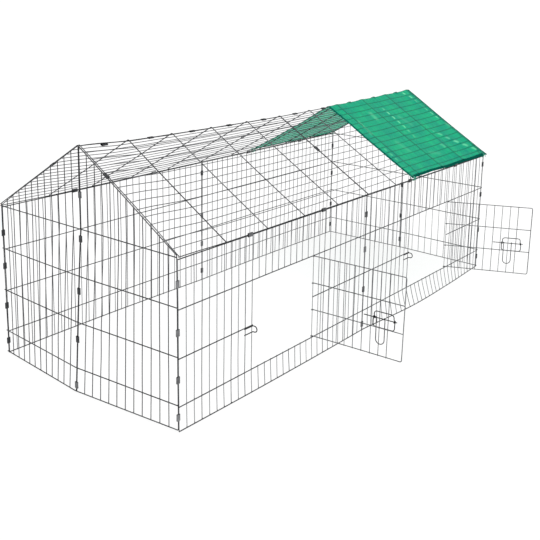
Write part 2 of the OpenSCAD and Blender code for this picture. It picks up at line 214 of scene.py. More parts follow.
def tube(b, path, r, sides=8, tone=0.5, ends=("cut", "cut"), along0=0.0):
    """A wire along a path, its sheared ends a little rounded."""
    p = np.asarray(path, float)
    t, u, w = frames(p)
    seg = np.concatenate([[0], np.cumsum(np.linalg.norm(np.diff(p, axis=0), axis=1))])
    rad = np.broadcast_to(np.asarray(r, float), (len(p),)).copy()
    pts, rads, uu, ww, ss = list(p), list(rad), list(u), list(w), list(seg)
    r0, r1 = rad[0], rad[-1]
    if ends[0] == "cut":
        pts = [p[0] - t[0] * r0 * 0.0, p[0] + t[0] * r0 * 0.22] + pts[1:]
        rads = [r0 * 0.74, r0] + rads[1:]
        uu, ww, ss = [u[0]] + uu, [w[0]] + ww, [0.0] + ss
    elif ends[0] == "round":
        pts = [p[0] - t[0] * r0 * 0.95, p[0] - t[0] * r0 * 0.6] + pts
        rads = [r0 * 0.3, r0 * 0.8] + rads
        uu, ww, ss = [u[0], u[0]] + uu, [w[0], w[0]] + ww, [0.0, 0.0] + ss
    if ends[1] == "cut":
        pts = pts[:-1] + [p[-1] - t[-1] * r1 * 0.22, p[-1]]
        rads = rads[:-1] + [r1, r1 * 0.74]
        uu, ww, ss = uu + [u[-1]], ww + [w[-1]], ss + [seg[-1]]
    elif ends[1] == "round":
        pts = pts + [p[-1] + t[-1] * r1 * 0.6, p[-1] + t[-1] * r1 * 0.95]
        rads = rads + [r1 * 0.8, r1 * 0.3]
        uu, ww, ss = uu + [u[-1], u[-1]], ww + [w[-1], w[-1]], ss + [seg[-1], seg[-1]]
    pts, rads, uu, ww = np.array(pts), np.array(rads), np.array(uu), np.array(ww)
    ang = np.arange(sides) * 2 * math.pi / sides
    ring = (np.cos(ang)[None, :, None] * uu[:, None, :] + np.sin(ang)[None, :, None] * ww[:, None, :])
    v = (pts[:, None, :] + ring * rads[:, None, None]).reshape(-1, 3)
    n = len(pts)
    faces = []
    for i in range(n - 1):
        for j in range(sides):
            k = (j + 1) % sides
            faces.append((i * sides + j, i * sides + k, (i + 1) * sides + k, (i + 1) * sides + j))
    faces.append(tuple(reversed(range(sides))))
    faces.append(tuple((n - 1) * sides + j for j in range(sides)))
    b.add(v, faces, tone, np.repeat(np.array(ss) + along0, sides))


def nugget(b, c, axis_a, axis_b, ra, rb, tone=0.4):
    """The squeezed metal at a spot weld: a low lump where two wires cross."""
    a = np.asarray(axis_a, float); a /= np.linalg.norm(a)
    d = np.asarray(axis_b, float); d = d - a * (a @ d); d /= np.linalg.norm(d)
    n = np.cross(a, d)
    k = rng.uniform(0.9, 1.15, 3)
    sa, sb, sn = rb * 1.38 * k[0], ra * 1.12 * k[1], 0.62 * min(ra, rb) * k[2]
    verts, faces = [], []
    rows, cols = 4, 8
    for i in range(1, rows):
        th = math.pi * i / rows
        for j in range(cols):
            ph = 2 * math.pi * j / cols
            verts.append(a * sa * math.sin(th) * math.cos(ph) + d * sb * math.sin(th) * math.sin(ph) + n * sn * math.cos(th))
    verts += [n * sn, -n * sn]
    top, bot = len(verts) - 2, len(verts) - 1
    for i in range(rows - 2):
        for j in range(cols):
            k2 = (j + 1) % cols
            faces.append((i * cols + j, (i + 1) * cols + j, (i + 1) * cols + k2, i * cols + k2))
    for j in range(cols):
        k2 = (j + 1) % cols
        faces.append((top, j, k2))
        faces.append((bot, (rows - 2) * cols + k2, (rows - 2) * cols + j))
    b.add(np.array(verts) + np.asarray(c, float), faces, tone)


def straight(a, b2, step=14.0, wob=None, amp=0.0, amp2=0.0, hold=None):
    """Points of a drawn wire from a to b2, hardly straight. wob is the direction it may lean in, amp how far.
    hold and amp2 are not used."""
    a, b2 = np.asarray(a, float), np.asarray(b2, float)
    length = np.linalg.norm(b2 - a)
    n = max(3, int(length / step) + 1)
    s = np.linspace(0, 1, n)
    p = a + (b2 - a) * s[:, None]
    if amp:
        ph = rng.uniform(0, 2 * math.pi, 3)
        off = (np.sin(s * length / 150 + ph[0]) * 0.6 + np.sin(s * length / 61 + ph[1]) * 0.28
               + (s - 0.5) * rng.normal(0, 0.7))
        p += np.asarray(wob, float) * (off * amp)[:, None]
    return p


# ------------------------------------------------------------------ materials
def new_mat(name):
    m = bpy.data.materials.new(name)
    m.use_nodes = True
    nt = m.node_tree
    nt.nodes.clear()
    out = nt.nodes.new("ShaderNodeOutputMaterial")
    return m, nt, out


def node(nt, kind, **values):
    n = nt.nodes.new(kind)
    for k, v in values.items():
        if k in n.inputs:
            n.inputs[k].default_value = v
        else:
            setattr(n, k, v)
    return n


def wire_material(name, base, dark, rough, spot, metallic=1.0):
    """Galvanised wire: a mottled grey, with dull patches."""
    m, nt, out = new_mat(name)
    bsdf = node(nt, "ShaderNodeBsdfPrincipled")
    bsdf.inputs["Metallic"].default_value = metallic
    bsdf.inputs["Specular IOR Level"].default_value = 0.5
    tc = node(nt, "ShaderNodeTexCoord")
    tone = node(nt, "ShaderNodeAttribute", attribute_name="tone")
    big = node(nt, "ShaderNodeTexNoise"); big.inputs["Scale"].default_value = 38; big.inputs["Detail"].default_value = 4
    fine = node(nt, "ShaderNodeTexNoise"); fine.inputs["Scale"].default_value = 620; fine.inputs["Detail"].default_value = 3
    nt.links.new(tc.outputs["Object"], big.inputs["Vector"])
    nt.links.new(tc.outputs["Object"], fine.inputs["Vector"])
    mixv = node(nt, "ShaderNodeMath", operation="ADD")
    nt.links.new(big.outputs["Fac"], mixv.inputs[0])
    half = node(nt, "ShaderNodeMath", operation="MULTIPLY"); half.inputs[1].default_value = 0.45
    nt.links.new(fine.outputs["Fac"], half.inputs[0])
    nt.links.new(half.outputs[0], mixv.inputs[1])
    shade = node(nt, "ShaderNodeMath", operation="MULTIPLY_ADD"); shade.inputs[1].default_value = 0.8
    nt.links.new(tone.outputs["Fac"], shade.inputs[2])
    nt.links.new(mixv.outputs[0], shade.inputs[0])
    ramp = node(nt, "ShaderNodeValToRGB")
    ramp.color_ramp.elements[0].position = 0.66
    ramp.color_ramp.elements[0].color = (*dark, 1)
    ramp.color_ramp.elements[1].position = 1.42 if False else 1.0
    ramp.color_ramp.elements[1].color = (*base, 1)
    e = ramp.color_ramp.elements.new(0.84)
    e.color = (*[0.55 * a + 0.45 * c for a, c in zip(base, dark)], 1)
    sc = node(nt, "ShaderNodeMath", operation="MULTIPLY"); sc.inputs[1].default_value = 0.78
    nt.links.new(shade.outputs[0], sc.inputs[0])
    nt.links.new(sc.outputs[0], ramp.inputs["Fac"])
    nt.links.new(ramp.outputs["Color"], bsdf.inputs["Base Color"])
    rmap = node(nt, "ShaderNodeMapRange")
    rmap.inputs["From Min"].default_value = 0.25; rmap.inputs["From Max"].default_value = 0.85
    rmap.inputs["To Min"].default_value = rough - 0.10; rmap.inputs["To Max"].default_value = rough + 0.16
    nt.links.new(big.outputs["Fac"], rmap.inputs["Value"])
    nt.links.new(rmap.outputs["Result"], bsdf.inputs["Roughness"])
    bump = node(nt, "ShaderNodeBump"); bump.inputs["Strength"].default_value = 0.35; bump.inputs["Distance"].default_value = 0.00012
    nt.links.new(fine.outputs["Fac"], bump.inputs["Height"])
    nt.links.new(bump.outputs["Normal"], bsdf.inputs["Normal"])
    nt.links.new(bsdf.outputs["BSDF"], out.inputs["Surface"])
    return m


MAT_BAR = wire_material("zinc_thin_wire", (0.28, 0.284, 0.292), (0.085, 0.088, 0.093), 0.40, 1)
MAT_BAR_DULL = wire_material("zinc_thin_wire_dull", (0.16, 0.163, 0.17), (0.05, 0.052, 0.056), 0.43, 1)
# painted shade: a darker copy of the thin-wire grey for the left end, which faces away from the light
MAT_BAR_SHADED_END = wire_material("zinc_thin_wire_painted_shade", (0.09, 0.092, 0.096), (0.03, 0.031, 0.034), 0.44, 1)
MAT_ROOF = wire_material("zinc_roof_wire", (0.16, 0.163, 0.17), (0.05, 0.052, 0.056), 0.42, 1)
MAT_RAIL = wire_material("zinc_rail_wire", (0.17, 0.173, 0.18), (0.06, 0.062, 0.066), 0.38, 1)
MAT_DOOR = wire_material("zinc_door_wire", (0.27, 0.274, 0.282), (0.09, 0.092, 0.097), 0.39, 1)
MAT_LATCH = wire_material("zinc_latch_wire", (0.065, 0.066, 0.07), (0.024, 0.025, 0.027), 0.36, 1)
MAT_CLIP = wire_material("clip_sheet_metal", (0.25, 0.253, 0.26), (0.055, 0.057, 0.061), 0.44, 1)


# --------------------------------------------------------------- wire panels
def tone_of(lo=0.25, hi=0.75):
    return rng.uniform(lo, hi)


class Panel:
    """One welded panel: wires as (a, b, radius, kind) in mm before flexing."""

    def __init__(self, lean, out):
        self.rails, self.bars = [], []
        self.lean, self.out = np.array(lean, float), np.array(out, float)

    def map(self, fn):
        q = Panel(fn(self.lean, True), fn(self.out, True))
        q.rails = [(fn(a), fn(b), r) for a, b, r in self.rails]
        q.bars = [(fn(a), fn(b), r) for a, b, r in self.bars]
        return q


def mirror_x(v, direction=False):
    return np.array([-v[0], v[1], v[2]], float)


def mirror_y(v, direction=False):
    return np.array([v[0], -v[1], v[2]], float)


def long_panel(x0, x1, opening):
    p = Panel((1, 0, 0), (0, -1, 0))
    for i, z in enumerate(RAILS_Z):
        if opening and i == 2:
            p.rails.append(((x0 - ER, -YO, z), (x0 + D0 * P_LEN + BR + 0.8, -YO, z), RR))
            p.rails.append(((x0 + D1 * P_LEN - BR - 0.8, -YO, z), (x1 + ER, -YO, z), RR))
        else:
            p.rails.append(((x0 - ER, -YO, z), (x1 + ER, -YO, z), RR))
    for x in (x0, x1):
        p.bars.append(((x, -YO + OFF_E, 0.2), (x, -YO + OFF_E, WALL_TOP), ER))
    for i in range(1, N_LEN):
        x = x0 + i * P_LEN
        if opening and D0 < i < D1:
            p.bars.append(((x, -YO + OFF_B, 0.2), (x, -YO + OFF_B, LOW + RR), BR))
            p.bars.append(((x, -YO + OFF_B, RAILS_Z[3] - RR), (x, -YO + OFF_B, WALL_TOP), BR))
        else:
            p.bars.append(((x, -YO + OFF_B, 0.2), (x, -YO + OFF_B, WALL_TOP), BR))
    p.rails = [(np.array(a, float), np.array(b, float), r) for a, b, r in p.rails]
    p.bars = [(np.array(a, float), np.array(b, float), r) for a, b, r in p.bars]
    return p


def gz(y):
    return GS1[1] + (GS1[0] - y) * (GS1[1] - GS0[1]) / (GS0[0] - GS1[0])


def end_panel():
    """The front half of the left end."""
    p = Panel((0, 1, 0), (-1, 0, 0))
    for z in RAILS_Z:
        p.rails.append(((-XO, -YE - OVER, z), (-XO, -1.1, z), RR))
    p.rails.append(((-XO, -GS0[0], GS0[1]), (-XO, -GS1[0], GS1[1]), RR))
    for y in (XJ, YE):
        p.bars.append(((-XO + OFF_E, -y, 0.2), (-XO + OFF_E, -y, gz(y) + 0.4), ER))
    for i in range(1, N_WID):
        y = XJ + i * P_WID
        p.bars.append(((-XO + OFF_B, -y, 0.2), (-XO + OFF_B, -y, gz(y) + 0.8), BR))
    p.rails = [(np.array(a, float), np.array(b, float), r) for a, b, r in p.rails]
    p.bars = [(np.array(a, float), np.array(b, float), r) for a, b, r in p.bars]
    return p


def on_slope(x, w, m):
    """A point of the front slope: w runs up it from the eave wire, m is its outward normal."""
    return np.array([x, -YO + w * CS - m * SN, EAVE_Z + w * SN + m * CS])


def roof_panel():
    """The front left roof panel: rails are the climbing rafters, bars run along."""
    p = Panel((0, CS, SN), (0, -SN, CS))
    poke = (XJ + (M_RAF - RR) * SN - 0.2) / CS
    for x in (-XR, -XJ):
        p.rails.append((on_slope(x, -OVER, M_EDGE), on_slope(x, SLOPE_L + poke, M_EDGE), ER))
    for i in range(1, BAYS):
        x = -XR + i * (XR - XJ) / BAYS
        p.rails.append((on_slope(x, -OVER, M_RAF), on_slope(x, SLOPE_L + poke, M_RAF), RR))
    for w in (0, SLOPE_L):
        p.bars.append((on_slope(-XR - 1, w, 0), on_slope(-XJ + 1, w, 0), ER))
    for i in range(1, N_SLOPE):
        p.bars.append((on_slope(-XR - 1, i * P_SLOPE, M_PUR), on_slope(-XJ + 1, i * P_SLOPE, M_PUR), BR))
    return p


def raised(p):
    """The left end's panels stand a little high and lift the roof's edge with them."""
    p = np.array(p, float)
    near = smooth((-p[:, 0] - 690) / 190)
    p[:, 2] += near * (3.0 + 3.6 * smooth((YO - 12 - np.abs(p[:, 1])) / 70))
    return p


def build_panel(p, rails_node, bars_node, lift=0.0, bar_amp=0.8, rail_amp=0.35, tones=(0.35, 0.9), bar_mat=None,
                edge=(0.45, 0.85), bend=None, coat=1.13):
    up = np.array([0, 0, lift])
    give = flex if bend is None else (lambda q: flex(bend(q)))
    rails, bars = Build(), Build()
    for a, b, r in p.rails:
        d = (b - a) / np.linalg.norm(b - a)
        side = np.cross(d, p.out)
        pts = straight(a, b, 14, side, rail_amp) + up
        pts = give(pts)
        pts[:, 2] = np.maximum(pts[:, 2], r * 1.05)            # the foot rests on the ground
        tube(rails, pts, r * 1.05, 10, tone_of(0.2, 0.6))
    for a, b, r in p.bars:
        amp = bar_amp if r < RR else 0.25
        d = (b - a) / np.linalg.norm(b - a)
        side = np.cross(d, p.out)
        pts = straight(a, b, 15, side, amp) + up
        # between its welds a thin wire bulges in or out a trifle
        if r < RR:
            s = np.linspace(0, 1, len(pts))
            length = np.linalg.norm(b - a)
            pts += p.out * (rng.normal(0, 0.35) * np.sin(s * length / 136 * math.pi) ** 2)[:, None]
        # the zinc coat adds a little, except on the wires that the doors turn on and those beside them
        hinge = p.out[1] < -0.5 and p.out[2] == 0 and min(abs(a[0] - x) for x, _ in DOORS.values()) < 1.2 * P_LEN
        full = r * (1.0 if hinge else 1.06 if r > BR else coat)
        if hinge:
            pts = a + (b - a) * np.linspace(0, 1, len(pts))[:, None] + up      # and these run true
        tube(bars, give(pts), full, 10 if r > BR else 8, tone_of(*edge) if r > BR else tone_of(*tones))
        # spot welds with every rail it crosses
        for a2, b2, r2 in p.rails:
            d2 = (b2 - a2) / np.linalg.norm(b2 - a2)
            n = np.cross(d, d2)
            nn = np.linalg.norm(n)
            if nn < 0.3:
                continue
            n /= nn
            gap = a2 - a
            # nearest points of the two lines
            m = np.array([[d @ d, -d @ d2], [d @ d2, -d2 @ d2]])
            try:
                s1, s2 = np.linalg.solve(m, np.array([gap @ d, gap @ d2]))
            except np.linalg.LinAlgError:
                continue
            if -3 < s1 < np.linalg.norm(b - a) + 3 and -3 < s2 < np.linalg.norm(b2 - a2) + 3:
                c1, c2 = a + d * s1, a2 + d2 * s2
                c = c1 + (c2 - c1) * r / (r + r2) + up
                c = give([c])[0]
                c[2] = max(c[2], r2 + 0.5)
                nugget(rails, c, d2, d, r2, r, 0.25)
    rails.make("wire_" + rails_node, MAT_RAIL, "run", [rails_node], "zinc_wire")
    bars.make("wire_" + bars_node, bar_mat or MAT_BAR, "run", [bars_node], "zinc_wire")


front_left = long_panel(-XF, -XJ, True)
front_right = long_panel(XJ, XF, True)
build_panel(front_left, "front_left_rails", "front_left_bars")
build_panel(front_right, "front_right_rails", "front_right_bars", tones=(0.15, 0.75), edge=(0.0, 0.3))
back_left = long_panel(-XF, -XJ, False).map(mirror_y)
back_right = long_panel(XJ, XF, False).map(mirror_y)
build_panel(back_left, "back_left_rails", "back_left_bars", tones=(0.3, 0.8), bar_mat=MAT_BAR_DULL, edge=(0.1, 0.5))
build_panel(back_right, "back_right_rails", "back_right_bars", tones=(0.3, 0.8), bar_mat=MAT_BAR_DULL, edge=(0.1, 0.5))
ep = end_panel()
# the left end's wires get the darkest thin-wire grey and low tones: painted shade for the end that faces away from the
# light
build_panel(ep, "left_end_front_rails", "left_end_front_bars", LEFT_LIFT, tones=(0.0, 0.45), bar_mat=MAT_BAR_SHADED_END, edge=(0.1, 0.5), coat=1.22)
build_panel(ep.map(mirror_y), "left_end_back_rails", "left_end_back_bars", LEFT_LIFT, tones=(0.0, 0.45), bar_mat=MAT_BAR_SHADED_END, edge=(0.1, 0.5), coat=1.22)
build_panel(ep.map(mirror_x), "right_end_front_rails", "right_end_front_bars", 1.0)
build_panel(ep.map(mirror_x).map(mirror_y), "right_end_back_rails", "right_end_back_bars", 1.0)
rp = roof_panel()
for key, q in (("front_left", rp), ("front_right", rp.map(mirror_x)),
               ("back_left", rp.map(mirror_y)), ("back_right", rp.map(mirror_x).map(mirror_y))):
    build_panel(q, f"roof_{key}_rafters", f"roof_{key}_purlins", bar_amp=0.5, bar_mat=MAT_ROOF, edge=(0.0, 0.15), bend=raised)


# --------------------------------------------------------------------- doors
def arc(c, r, a0, a1, e1, e2, n=8):
    """Points of an arc about c in the plane of e1 and e2, angles in degrees."""
    t = np.radians(np.linspace(a0, a1, n))
    return np.asarray(c, float) + r * (np.cos(t)[:, None] * np.asarray(e1, float) + np.sin(t)[:, None] * np.asarray(e2, float))


def line(a, b, step=12.0):
    a, b = np.asarray(a, float), np.asarray(b, float)
    n = max(2, int(np.linalg.norm(b - a) / step) + 1)
    return a + (b - a) * np.linspace(0, 1, n)[:, None]


def join(*parts):
    out = [np.asarray(parts[0], float)]
    for q in parts[1:]:
        q = np.asarray(q, float)
        if np.linalg.norm(out[-1][-1] - q[0]) < 0.05:
            q = q[1:]
        out.append(q)
    return np.concatenate(out)


EX, EY, EZ = np.eye(3)


def door_place(side):
    x, opened = DOORS[side]
    t = math.radians(180 + opened)
    r = np.array([[math.cos(t), -math.sin(t), 0], [math.sin(t), math.cos(t), 0], [0, 0, 1]])
    o = np.array([x, -HINGE_Y, 0])
    return lambda p: np.asarray(p, float) @ r.T + o


def curl(z, top_sag=0.0):
    """The end of a door's wire, turned round the hinge wire."""
    return arc((0, 0, z), LOOP_R, 352, 90, EX, EY, 14)


def build_door(side):
    place = door_place(side)
    body = side + "_door"
    mat_f, mat_b = (MAT_DOOR, MAT_DOOR) if side == "near" else (MAT_RAIL, MAT_BAR_DULL)
    coat = 1.10 if side == "near" else 1.13
    lean = 4.0 if side == "near" else 2.0   # the foot of the free edge stands in a little

    def shaped(p):
        p = np.array(p, float)
        t = np.clip(p[:, 0] / DOOR_W, 0, 1)
        down = np.clip((DOOR_Z1 - p[:, 2]) / (DOOR_Z1 - DOOR_Z0), 0, 1)
        p[:, 0] -= lean * t ** 3 * down
        p[:, 1] += 1.3 * np.sin(math.pi * t) * (0.4 + 0.6 * down) * smooth(p[:, 0] / 60)
        return place(p)

    fr = Build()
    b, w = DOOR_BEND, DOOR_W
    path = join(curl(DOOR_Z1), line((0, LOOP_R, DOOR_Z1), (w - b, LOOP_R, DOOR_Z1)),
                arc((w - b, LOOP_R, DOOR_Z1 - b), b, 90, 0, EX, EZ, 9),
                line((w, LOOP_R, DOOR_Z1 - b), (w, LOOP_R, DOOR_Z0 + b)),
                arc((w - b, LOOP_R, DOOR_Z0 + b), b, 0, -90, EX, EZ, 9),
                line((w - b, LOOP_R, DOOR_Z0), (0, LOOP_R, DOOR_Z0)), curl(DOOR_Z0)[::-1])
    tube(fr, shaped(path), RR, 10, 0.5)
    fr.make(f"wire_{side}_door_frame", mat_f, body, [f"{side}_door_frame"], "zinc_wire")

    rl = Build()
    zs = [DOOR_Z0 + i * DOOR_ROW for i in (1, 2)]
    for z in zs:
        tube(rl, shaped(join(curl(z), line((0, LOOP_R, z), (w - RR + WELD, LOOP_R, z)))), RR, 10, tone_of(0.35, 0.65))
        nugget(rl, shaped([(w - RR * 0.6, LOOP_R, z)])[0], place([EX])[0] - place([0 * EX])[0], EZ, RR * 0.8, RR * 1.1, 0.3)
    bb = Build()
    for i in range(1, DOOR_BAYS):
        x = i * P_LEN
        pts = straight((x, LOOP_R - OFF_B, DOOR_Z0 - RR), (x, LOOP_R - OFF_B, DOOR_Z1 + RR), 13, EX, 0.8)
        tube(bb, shaped(pts), BR * coat, 8, tone_of(0.2, 0.8))
        for z in [DOOR_Z0, *zs, DOOR_Z1]:
            c = np.array([x, LOOP_R - OFF_B + BR * OFF_B / (BR + RR), z])
            k = 0.62 if z in (DOOR_Z0, DOOR_Z1) else 1.0      # no bead in the slit round the shut door
            nugget(rl, shaped([c])[0], place([EX])[0] - place([0 * EX])[0], EZ, RR * k, BR * k, 0.25)
    rl.make(f"wire_{side}_door_rails", mat_f, body, [f"{side}_door_rails"], "zinc_wire")
    bb.make(f"wire_{side}_door_bars", mat_b, body, [f"{side}_door_bars"], "zinc_wire")

    # latch bracket: one wire bent to a rounded frame, with an eye turned in each side
    br = Build()
    r, wr = 9.0, 1.52
    er = RR + 0.12 + wr                       # eye's middle radius round the rod
    top, bot = LATCH_Z + BRACKET_H, LATCH_Z

    def side_wire(x, inward):
        """Up one side: straight, once round the rod, and on; x moves by a wire's width."""
        xa, xb = x - inward * 2.5, x + inward * 0.4
        t = np.linspace(0, 1, 34)
        fi = np.radians(-8 + 376 * t)
        eye = np.stack([xa + (xb - xa) * smooth(t), ROD_N + er * np.cos(fi), ROD_Z + er * np.sin(fi)], 1)
        low_s = np.linspace(0, 1, 8)[:, None]
        lowp = np.stack([np.full(8, xa), BR_N + (eye[0][1] - BR_N) * smooth(low_s[:, 0] ** 1.2),
                         ROD_Z - 9 + (eye[0][2] - ROD_Z + 9) * low_s[:, 0]], 1)
        highp = np.stack([np.full(8, xb), eye[-1][1] + (BR_N - eye[-1][1]) * smooth(low_s[:, 0] ** 0.9),
                          eye[-1][2] + (ROD_Z + 9 - eye[-1][2]) * low_s[:, 0]], 1)
        return join(line((xa, BR_N, bot + r), (xa, BR_N, ROD_Z - 9)), lowp, eye, highp,
                    line((xb, BR_N, ROD_Z + 9), (xb, BR_N, top - r)))
    left, right = side_wire(BR_X0, 1), side_wire(BR_X1, -1)
    xl0, xl1, xr0, xr1 = left[0][0], left[-1][0], right[0][0], right[-1][0]
    mid = (BR_X0 + BR_X1) / 2
    ring = join(line((mid - 3, BR_N, bot), (xl0 + r, BR_N, bot)),
                arc((xl0 + r, BR_N, bot + r), r, 270, 180, EX, EZ, 9), left,
                arc((xl1 + r, BR_N, top - r), r, 180, 90, EX, EZ, 9),
                line((xl1 + r, BR_N, top), (xr1 - r, BR_N, top)),
                arc((xr1 - r, BR_N, top - r), r, 90, 0, EX, EZ, 9), right[::-1],
                arc((xr0 - r, BR_N, bot + r), r, 0, -90, EX, EZ, 9),
                line((xr0 - r, BR_N, bot), (mid - 2.6, BR_N, bot)))
    tube(br, place(ring), wr, 10, 0.45)
    for x in (BR_X0 + 14, mid - 3, BR_X1 - 14):
        nugget(br, place([(x, LOOP_R + RR, LATCH_Z)])[0], place([EX])[0] - place([0 * EX])[0], EZ, 1.5, 2.6, 0.2)
    br.make(f"wire_{side}_latch_bracket", MAT_LATCH, body, [f"{side}_latch_bracket"], "latch_wire")

    # bolt: a straight rod, and a handle hooked over it and welded
    bo = Build()
    tube(bo, place(line((ROD_X1 - ROD_LEN, ROD_N, ROD_Z), (ROD_X1, ROD_N, ROD_Z), 9)), RR, 12, 0.5, ("round", "round"))
    hd, hr = (RAIL_D - 0.2) / 2, HANDLE_W / 2
    xm = LEG_X0 + hr
    hook = RR + hd - 0.15

    def leg(x):
        """From behind the rod, over it and down in front."""
        over = arc((x, ROD_N, ROD_Z), hook, 205, 62, EY, EZ, 13)
        e = over[-1]
        s = np.linspace(0, 1, 9)
        bow = np.stack([np.full(9, x), e[1] + (LEG_N - e[1]) * np.sin(s * math.pi / 2) ** 0.9,
                        e[2] + (ROD_Z - 9 - e[2]) * s ** 1.25], 1)
        return join(over, bow, line((x, LEG_N, ROD_Z - 9), (x, LEG_N, ROD_Z - HANDLE_LEN + hr)))
    lp, rp2 = leg(xm - hr), leg(xm + hr)
    u = join(lp, arc((xm, LEG_N, ROD_Z - HANDLE_LEN + hr), hr, 180, 360, EX, EZ, 21), rp2[::-1])
    tube(bo, place(u), hd, 10, 0.55)
    for x in (xm - hr, xm + hr):
        nugget(bo, place([(x, ROD_N + 0.6, ROD_Z + hook * 0.55)])[0], place([EX])[0] - place([0 * EX])[0], EZ, 1.8, 1.7, 0.2)
    bo.make(f"wire_{side}_bolt", MAT_LATCH, side + "_bolt", [f"{side}_bolt"], "latch_wire")

    # catch: a hairpin welded over the last upright wires, its loop bent outwards
    x0, _ = DOORS[side]
    o = np.array([x0, -HINGE_Y, 0])
    shut = lambda p: np.asarray(p, float) @ np.diag([-1.0, -1.0, 1.0]) + o
    ca = Build()
    rb, hrc = 3.4, CATCH_H / 2
    leg_end, tip = (DOOR_BAYS + 1) * P_LEN + 5, CATCH_OUT - hrc
    zc = (CATCH_Z0 + CATCH_Z1) / 2

    def bend_leg(z):
        return join(line((leg_end, CATCH_N, z), (CATCH_X + rb, CATCH_N, z), 6),
                    arc((CATCH_X + rb, CATCH_N + rb, z), rb, 270, 180, EX, EY, 9),
                    line((CATCH_X, CATCH_N + rb, z), (CATCH_X, tip, z), 3))
    hp = join(bend_leg(CATCH_Z1), arc((CATCH_X, tip, zc), hrc, 90, -90, EY, EZ, 19), bend_leg(CATCH_Z0)[::-1])
    centre = shut([(CATCH_X + 15, 0, zc)])[0]
    tube(ca, flex_rigid(shut(hp), centre), RR + 0.1, 10, 0.35)
    for z in (CATCH_Z0, CATCH_Z1):
        for k in (DOOR_BAYS, DOOR_BAYS + 1):
            nugget(ca, flex_rigid(shut([(k * P_LEN, BR * 0.85, z)]), centre)[0], EX, EZ, RR, BR * 1.3, 0.2)
    ca.make(f"wire_{side}_catch", MAT_LATCH, "run", [f"{side}_catch"], "latch_wire")


for s in ("near", "far"):
    build_door(s)


# --------------------------------------------------------------------- clips
def oval(length, width, n=9):
    """Outline of a flat oval, starting and ending at the slit in its upper side."""
    r = width / 2
    h = (length - width) / 2
    right = [(h + r * math.cos(t), r * math.sin(t)) for t in np.linspace(math.pi / 2, -math.pi / 2, n)]
    left = [(-h + r * math.cos(t), r * math.sin(t)) for t in np.linspace(-math.pi / 2, -3 * math.pi / 2, n)]
    return right, left


def clip(b, m, centre, slip=True, tones=(0.05, 0.75)):
    """A rolled metal sleeve about its own Z, its slit on +Y; m places it in mm."""
    twist = math.radians(rng.normal(0, 3.0))
    squeeze = rng.uniform(0.97, 1.02)
    zs = [-10, -9.72, -9.1, -6, -2, 2, 6, 9.1, 9.72, 10]
    rim = [0.42, 0.16, 0, 0, 0, 0, 0, 0, 0.16, 0.42]
    flare = [0.05, 0.05, 0.03, 0, -0.05, -0.05, 0, 0.03, 0.05, 0.05]
    slit = 0.55
    lap = rng.uniform(-0.12, 0.28)            # one lip stands a little proud of the other
    rings = []
    for z, cut, fl in zip(zs, rim, flare):
        t = CLIP_T - 2 * cut * CLIP_T * 0.5
        ow, ol = CL_W + 2 * CLIP_T - cut + fl * 2, CLIP_IN + 2 * CLIP_T - cut + fl * 2
        iw, il = ow - 2 * t, ol - 2 * t
        r_o, l_o = oval(ol * squeeze, ow)
        r_i, l_i = oval(il * squeeze, iw)
        outer = [(slit, ow / 2 - 0.12)] + [(slit + 0.45, ow / 2)] + r_o + l_o + [(-slit - 0.45, ow / 2 + lap)] + [(-slit, ow / 2 + lap - 0.12)]
        inner = [(slit, iw / 2 + 0.1)] + [(slit + 0.45, iw / 2)] + r_i + l_i + [(-slit - 0.45, iw / 2 + lap)] + [(-slit, iw / 2 + lap + 0.1)]
        rings.append([(x, y, z * CLIP_LEN / 20) for x, y in outer + inner[::-1]])
    n = len(rings[0])
    v = np.array(rings).reshape(-1, 3)
    c, s = math.cos(twist), math.sin(twist)
    v = v @ np.array([[c, -s, 0], [s, c, 0], [0, 0, 1]]).T
    if slip:
        v[:, 2] += rng.normal(0, 1.2)
    faces = []
    for i in range(len(zs) - 1):
        for j in range(n):
            k = (j + 1) % n
            faces.append((i * n + j, (i + 1) * n + j, (i + 1) * n + k, i * n + k))
    half = n // 2
    last = (len(zs) - 1) * n
    for j in range(half - 1):
        faces.append((j, j + 1, n - 2 - j, n - 1 - j))
        faces.append((last + j + 1, last + j, last + n - 1 - j, last + n - 2 - j))
    v4 = np.concatenate([v, np.ones((len(v), 1))], 1) @ np.array(m, float).T
    b.add(flex_rigid(v4[:, :3], centre) if centre is not None else v4[:, :3], faces, tone_of(*tones))


def mat(*steps):
    m = Matrix.Identity(4)
    for s in steps:
        m = m @ s
    return m


def T(x, y, z):
    return Matrix.Translation((x, y, z))


def RX(a):
    return Matrix.Rotation(math.radians(a), 4, "X")


def RY(a):
    return Matrix.Rotation(math.radians(a), 4, "Y")


def RZ(a):
    return Matrix.Rotation(math.radians(a), 4, "Z")


def SC(x, y, z):
    return Matrix.Diagonal((x, y, z, 1))


DEG = math.degrees(SLOPE)


def put_clips(node_name, places, lift=0.0, tones=(0.05, 0.75)):
    b = Build()
    for i, m in enumerate(places):
        m = T(0, 0, lift) @ m
        c = np.array(m.translation)
        clip(b, m, c, tones=tones[i] if isinstance(tones, list) else tones)
    b.make("sleeve_" + node_name, MAT_CLIP, "run", [node_name], "clip_metal")


put_clips("ridge_clips", [T(s * (XJ + (i + 0.5) * (XR - XJ) / BAYS), 0, RIDGE) @ RZ(90) @ RX(90)
                          for s in (-1, 1) for i in range(BAYS)], tones=(0.0, 0.15))
eaves = [T(x0 + (math.floor(f * N_LEN) + 0.5) * P_LEN, -YO, (EAVE + EAVE_Z) / 2) @ RY(90)
         for x0 in (-XF, XJ) for f in (0.315, 0.705)]
put_clips("front_eave_clips", eaves)
put_clips("back_eave_clips", [SC(1, -1, 1) @ m for m in eaves])


